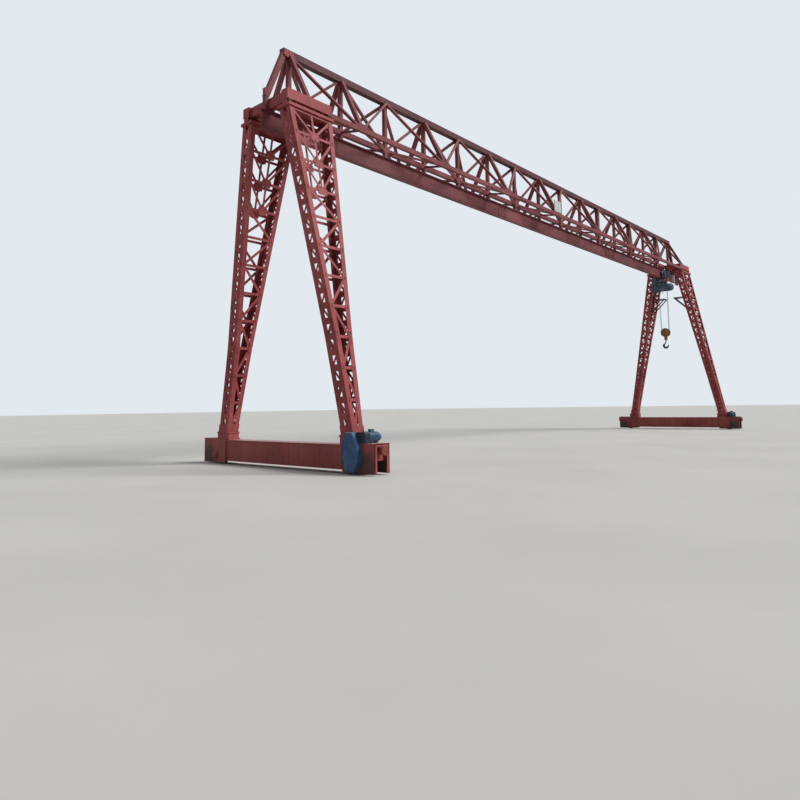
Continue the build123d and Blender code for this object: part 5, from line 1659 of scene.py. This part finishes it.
def blockCheeks(store):
    # raised rim strips, pin keepers and spacer rolls on the cheeks
    look, lip = blockLook, blockLook["lipWidth"]
    outer = roundedOutline(look["halfY"], blockHalfZ, look["corner"], 8)
    inner = roundedOutline(look["halfY"] - lip, blockHalfZ - lip, look["corner"] - lip, 8)
    count = len(outer)
    halfY, (low, high), thick = look["keeper"]
    for sign in (-1, 1):
        x = hx + sign * look["cheekX"]
        rings = [(0, outer), (0, inner), (look["lipThick"], inner), (look["lipThick"], outer)]
        points = [Vector((x + sign * along, y, blockMiddle + z)) for along, ring in rings for y, z in ring]
        faces = []
        for ring in range(4):
            first, second = ring * count, (ring + 1) % 4 * count
            for k in range(count):
                m = (k + 1) % count
                faces.append((first + k, first + m, second + m, second + k))
        addFaces(store, points, faces)
        addBlock(store, (x, -halfY, low), (x + sign * thick, halfY, high), 0.002)
        addLathe(store, (x, 0, crane["blockZ"]), (sign, 0, 0), look["pinCap"], 28)
    for y in (-look["rollY"], look["rollY"]):
        for z in look["rollZs"]:
            addTube(store, [(hx - look["rollX"], y, z), (hx + look["rollX"], y, z)], look["roll"], 10)


def blockBolts(store):
    look = blockLook
    keeperY, keeperZ, keeperBolt = look["keeperBolts"]
    for sign in (-1, 1):
        x, n = hx + sign * look["cheekX"], (sign, 0, 0)
        spots = [(x + sign * 0.004, y, z) for y in (-look["boltY"], look["boltY"]) for z in look["rollZs"]]
        spots += [(x, y, look["lowBoltZ"]) for y in (-look["lowBoltY"], look["lowBoltY"])]
        addBolts(store, spots, n, look["bolt"])
        spots = [(x + sign * look["keeper"][2], y, keeperZ) for y in (-keeperY, keeperY)]
        addBolts(store, spots, n, keeperBolt, stud=False)
        addBolt(store, (x + sign * look["pinCap"][-1][0], 0, crane["blockZ"]), n, look["pinBolt"])


def sheaveRims(store):
    # rims on both sides of each rope groove
    r = blockLook["rimRadius"]
    profile = [(0, 0.09), (0, r - 0.006), (0.003, r), (0.006, r), (0.009, r - 0.008), (0.009, 0.09)]
    for fall in (-1, 1):
        for sign in (-1, 1):
            x = hx + fall * fallLook["x"] + sign * blockLook["rimX"]
            addLathe(store, (x, 0, crane["blockZ"]), (sign, 0, 0), profile, 48)


def sheaveRope(store):
    # the half turn of rope under each sheave
    line = blockLook["ropeLine"]
    angles = [math.radians(degrees) for degrees in range(0, -181, -10)]
    for x in (hx - fallLook["x"], hx + fallLook["x"]):
        path = [(x, line * math.cos(angle), crane["blockZ"] + line * math.sin(angle)) for angle in angles]
        addTube(store, path, drumLook["rope"])


def neckTrim(store):
    # collar and thrust ring where the hook turns in the block's neck
    for part in ("collar", "thrust"):
        addLathe(store, (hx, 0, blockLook[part + "Z"]), (0, 0, -1), blockLook[part], 32)


buildPiece(blockBand, "blockBand", paintOchre, "block")
buildPiece(blockCheeks, "blockTrim", paintOchre, "block")
buildPiece(blockBolts, "blockBolts", boltMetal, "block")
buildPiece(sheaveRims, "sheaveRims", castIron, "block")
buildPiece(sheaveRope, "sheaveRope", ropeStrands, "block")
buildPiece(neckTrim, "neckTrim", paintOchre, "block")


# The forged hook: a fat bowl that thins towards the tip, on a shank that turns in the neck

hookLook = {
    "throat": 0.088, "neckWidth": 0.060, "sideWidth": 0.122, "sideDepth": 0.086, "tipWidth": 0.034,
    # the neck: along Y, up from the bowl's middle, width and depth
    "neck": [(0.0, 0.300, 0.062, 0.060), (0.0, 0.262, 0.060, 0.058), (0.001, 0.226, 0.058, 0.056),
             (0.010, 0.190, 0.058, 0.056), (0.031, 0.158, 0.060, 0.056)],
    "bowlFrom": 56, "bowlTurn": 256, "bowlStep": 8,
    "fullAt": 0.22, "thinFrom": 0.4, "flareFrom": 0.85, "flare": 0.012,
    "shankFoot": 0.288,
    "shank": [(0, 0.031), (0.008, 0.036), (0.018, 0.036), (0.022, 0.030), (0.3116, 0.030)],
}


def bowlWidth(share):
    # share runs from 0 at the neck to 1 at the tip
    neck, side, tip = (hookLook[key] for key in ("neckWidth", "sideWidth", "tipWidth"))
    thin = hookLook["thinFrom"]
    if share < thin:
        return neck + (side - neck) * min(1, share / hookLook["fullAt"])
    return side + (tip - side) * ((share - thin) / (1 - thin)) ** 2


def forgedHook(store):
    look, z = hookLook, crane["hookZ"]
    sections = list(look["neck"])
    start, turn, flareFrom = look["bowlFrom"], look["bowlTurn"], look["flareFrom"]
    for degrees in range(start, start - turn, -look["bowlStep"]):
        share = (start - degrees) / turn
        width = bowlWidth(share)
        depth = look["sideDepth"] * (width / look["sideWidth"]) ** 0.7
        flare = look["flare"] * max(0.0, (share - flareFrom) / (1 - flareFrom))
        radius, angle = look["throat"] + width / 2 + flare, math.radians(degrees)
        sections.append((radius * math.cos(angle), radius * math.sin(angle), width, depth))
    path = [(hx, y, z + lift) for y, lift, _, _ in sections]
    _, _, widths, depths = zip(*sections)
    addSweep(store, path, widths, depths, (1, 0, 0), 18)
    addLathe(store, (hx, 0, z + look["shankFoot"]), (0, 0, 1), look["shank"], 28)


hook = buildPiece(forgedHook, "forgedHook", forgedSteel, "hook", smooth=60)
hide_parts("lifting_hook")
print("hook block done")


# Festoon: four light cables side by side hang in loops from saddles under the carrier arm

festoonLook = {
    "cableRadius": 0.007, "cableGap": 0.017,
    "startX": 15.06, "pitch": 0.130, "loops": 4, "y": -0.33,
    "top": 9.4697, "low": 8.8127, "bendHeight": 0.028, "lifts": (0.020, 0.0, 0.055, 0.010),
    "saddleZ": 9.438, "saddle": (0.020, 0.005), "saddleHalf": 0.034,
    "hangerYs": (-0.030, 0.026), "hangerHalf": 0.008, "hangerThick": 0.004, "hangerZ": (9.455, 9.525),
    "clampHalf": (0.022, 0.036), "clampZ": (9.425, 9.450), "clampHangerZ": (9.430, 9.50),
}


def festoonRoute(y, lift):
    eighth, bend = festoonLook["pitch"] / 8, festoonLook["bendHeight"]
    top, low = festoonLook["top"], festoonLook["low"] + lift
    upper, lower = top - bend, low + 2 * bend
    route = []
    for i in range(festoonLook["loops"]):
        x = festoonLook["startX"] + i * festoonLook["pitch"]
        bends = [(0, upper), (0, lower), (0.2, low), (3.8, low), (4, lower), (4, upper), (5, top), (7, top)]
        route += [(x + eighth * count, y, z) for count, z in bends]
    return route[:-2]  # the last loop ends at its clamp


def makeFestoon():
    for index, lift in enumerate(festoonLook["lifts"]):
        y = festoonLook["y"] + (index - 1.5) * festoonLook["cableGap"]
        route = festoonRoute(y, lift)
        curve = bpy.data.curves.new(f"festoonCable{index + 1}", "CURVE")
        curve.dimensions = "3D"
        curve.bevel_depth = festoonLook["cableRadius"]
        curve.bevel_resolution = 3
        curve.resolution_u = 8
        spline = curve.splines.new("NURBS")
        spline.points.add(len(route) - 1)
        for point, place in zip(spline.points, route):
            point.co = (*place, 1)
        spline.order_u = 3
        spline.use_endpoint_u = True
        curve.materials.append(cableSheath)
        piece = bpy.data.objects.new(f"festoonCable{index + 1}", curve)
        bpy.context.scene.collection.objects.link(piece)
        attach(piece, "gantry")
        if index == 1:
            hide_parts("festoon_cable")


def saddleHangers(store, x, heights):
    look, half = festoonLook, festoonLook["hangerHalf"]
    low, high = heights
    for y in (look["y"] + across for across in look["hangerYs"]):
        addBlock(store, (x - half, y, low), (x + half, y + look["hangerThick"], high), 0.001)


def festoonSaddles(store):
    # saddles under the arm, and the clamps where the cables end
    look, y, pitch, start = festoonLook, festoonLook["y"], festoonLook["pitch"], festoonLook["startX"]
    half = look["saddleHalf"]
    for i in range(look["loops"] - 1):
        x = start + (i + 0.75) * pitch
        addShell(store, (x, y - half, look["saddleZ"]), (0, 1, 0), *look["saddle"], 2 * half, 0, 180, 12)
        saddleHangers(store, x, look["hangerZ"])
    (halfX, halfY), (low, high) = look["clampHalf"], look["clampZ"]
    for x in (start, start + (look["loops"] - 0.5) * pitch):
        addBlock(store, (x - halfX, y - halfY, low), (x + halfX, y + halfY, high), 0.004)
        saddleHangers(store, x, look["clampHangerZ"])


makeFestoon()
buildPiece(festoonSaddles, "festoonSaddles", bareSteel, "gantry")
print("festoon done")


# Floor, light and camera

sceneLook = {
    "floorHalf": 300, "floorColour": (0.58, 0.56, 0.52), "floorDark": 0.93, "floorRough": 0.9,
    "skyColour": (0.72, 0.77, 0.82), "skyLight": 0.44, "backdropColour": (0.76, 0.82, 0.87),
    "sunStrength": 3.0, "sunAngle": 30, "sunFrom": (0.45, -0.82, 0.80),
    "cameraSpot": (-26.12, -13.918, 1.57), "cameraForward": (0.7453, 0.6581, 0.1067), "cameraRoll": -0.82,
    "sensor": 36, "focal": 29.39, "shiftY": -0.0794, "seesTo": 1000,
}


def makeFloor():
    mesh = bpy.data.meshes.new("floor")
    size = sceneLook["floorHalf"]
    mesh.from_pydata([(x, y, 0) for x, y in rectangle(-size, -size, size, size)], [], [(0, 1, 2, 3)])
    floor = bpy.data.objects.new("floor", mesh)
    bpy.context.scene.collection.objects.link(floor)
    material, tree, shader = newMaterial("floorPale")
    tone = sceneLook["floorColour"]
    soft = tuple(value * sceneLook["floorDark"] for value in tone)
    spots = noise(tree, objectCoords(tree), 0.25, 6)
    link(tree, ramp(tree, spots, [(0.35, soft), (0.65, tone)]), shader.inputs["Base Color"])
    shader.inputs["Roughness"].default_value = sceneLook["floorRough"]
    mesh.materials.append(material)


def makeLight():
    # a pale sky and one soft sun; the camera, gloss and glass see the backdrop's colour instead of the sky
    world = bpy.data.worlds.new("sky")
    bpy.context.scene.world = world
    world.use_nodes = True
    tree = world.node_tree
    background = tree.nodes["Background"]
    background.inputs["Color"].default_value = (*sceneLook["skyColour"], 1)
    background.inputs["Strength"].default_value = sceneLook["skyLight"]
    backdrop = tree.nodes.new("ShaderNodeBackground")
    backdrop.inputs["Color"].default_value = (*sceneLook["backdropColour"], 1)
    rays = tree.nodes.new("ShaderNodeLightPath").outputs
    seen = maths(tree, "MAXIMUM", rays["Is Camera Ray"], rays["Is Glossy Ray"])
    seen = maths(tree, "MAXIMUM", seen, rays["Is Transmission Ray"])
    either = tree.nodes.new("ShaderNodeMixShader")
    for place, socket in enumerate((seen, background.outputs[0], backdrop.outputs[0])):
        link(tree, socket, either.inputs[place])
    link(tree, either.outputs[0], tree.nodes["World Output"].inputs["Surface"])
    sun = bpy.data.lights.new("sun", "SUN")
    sun.energy = sceneLook["sunStrength"]
    sun.angle = math.radians(sceneLook["sunAngle"])
    lamp = bpy.data.objects.new("sun", sun)
    lamp.rotation_mode = "QUATERNION"
    lamp.rotation_quaternion = Vector(sceneLook["sunFrom"]).to_track_quat("Z", "Y")
    bpy.context.scene.collection.objects.link(lamp)


def makeCamera():
    data = bpy.data.cameras.new("camera")
    data.sensor_width = sceneLook["sensor"]
    data.lens = sceneLook["focal"]
    data.shift_y = sceneLook["shiftY"]
    data.clip_end = sceneLook["seesTo"]
    camera = bpy.data.objects.new("camera", data)
    forward = Vector(sceneLook["cameraForward"]).normalized()
    right = forward.cross(Vector((0, 0, 1))).normalized()
    up = right.cross(forward)
    matrix = Matrix((right, up, -forward)).transposed()
    matrix = matrix @ Matrix.Rotation(math.radians(sceneLook["cameraRoll"]), 3, "Z")
    camera.matrix_world = Matrix.Translation(sceneLook["cameraSpot"]) @ matrix.to_4x4()
    bpy.context.scene.collection.objects.link(camera)
    bpy.context.scene.camera = camera


makeFloor()
makeLight()
makeCamera()
bpy.context.scene.view_settings.view_transform = "Standard"
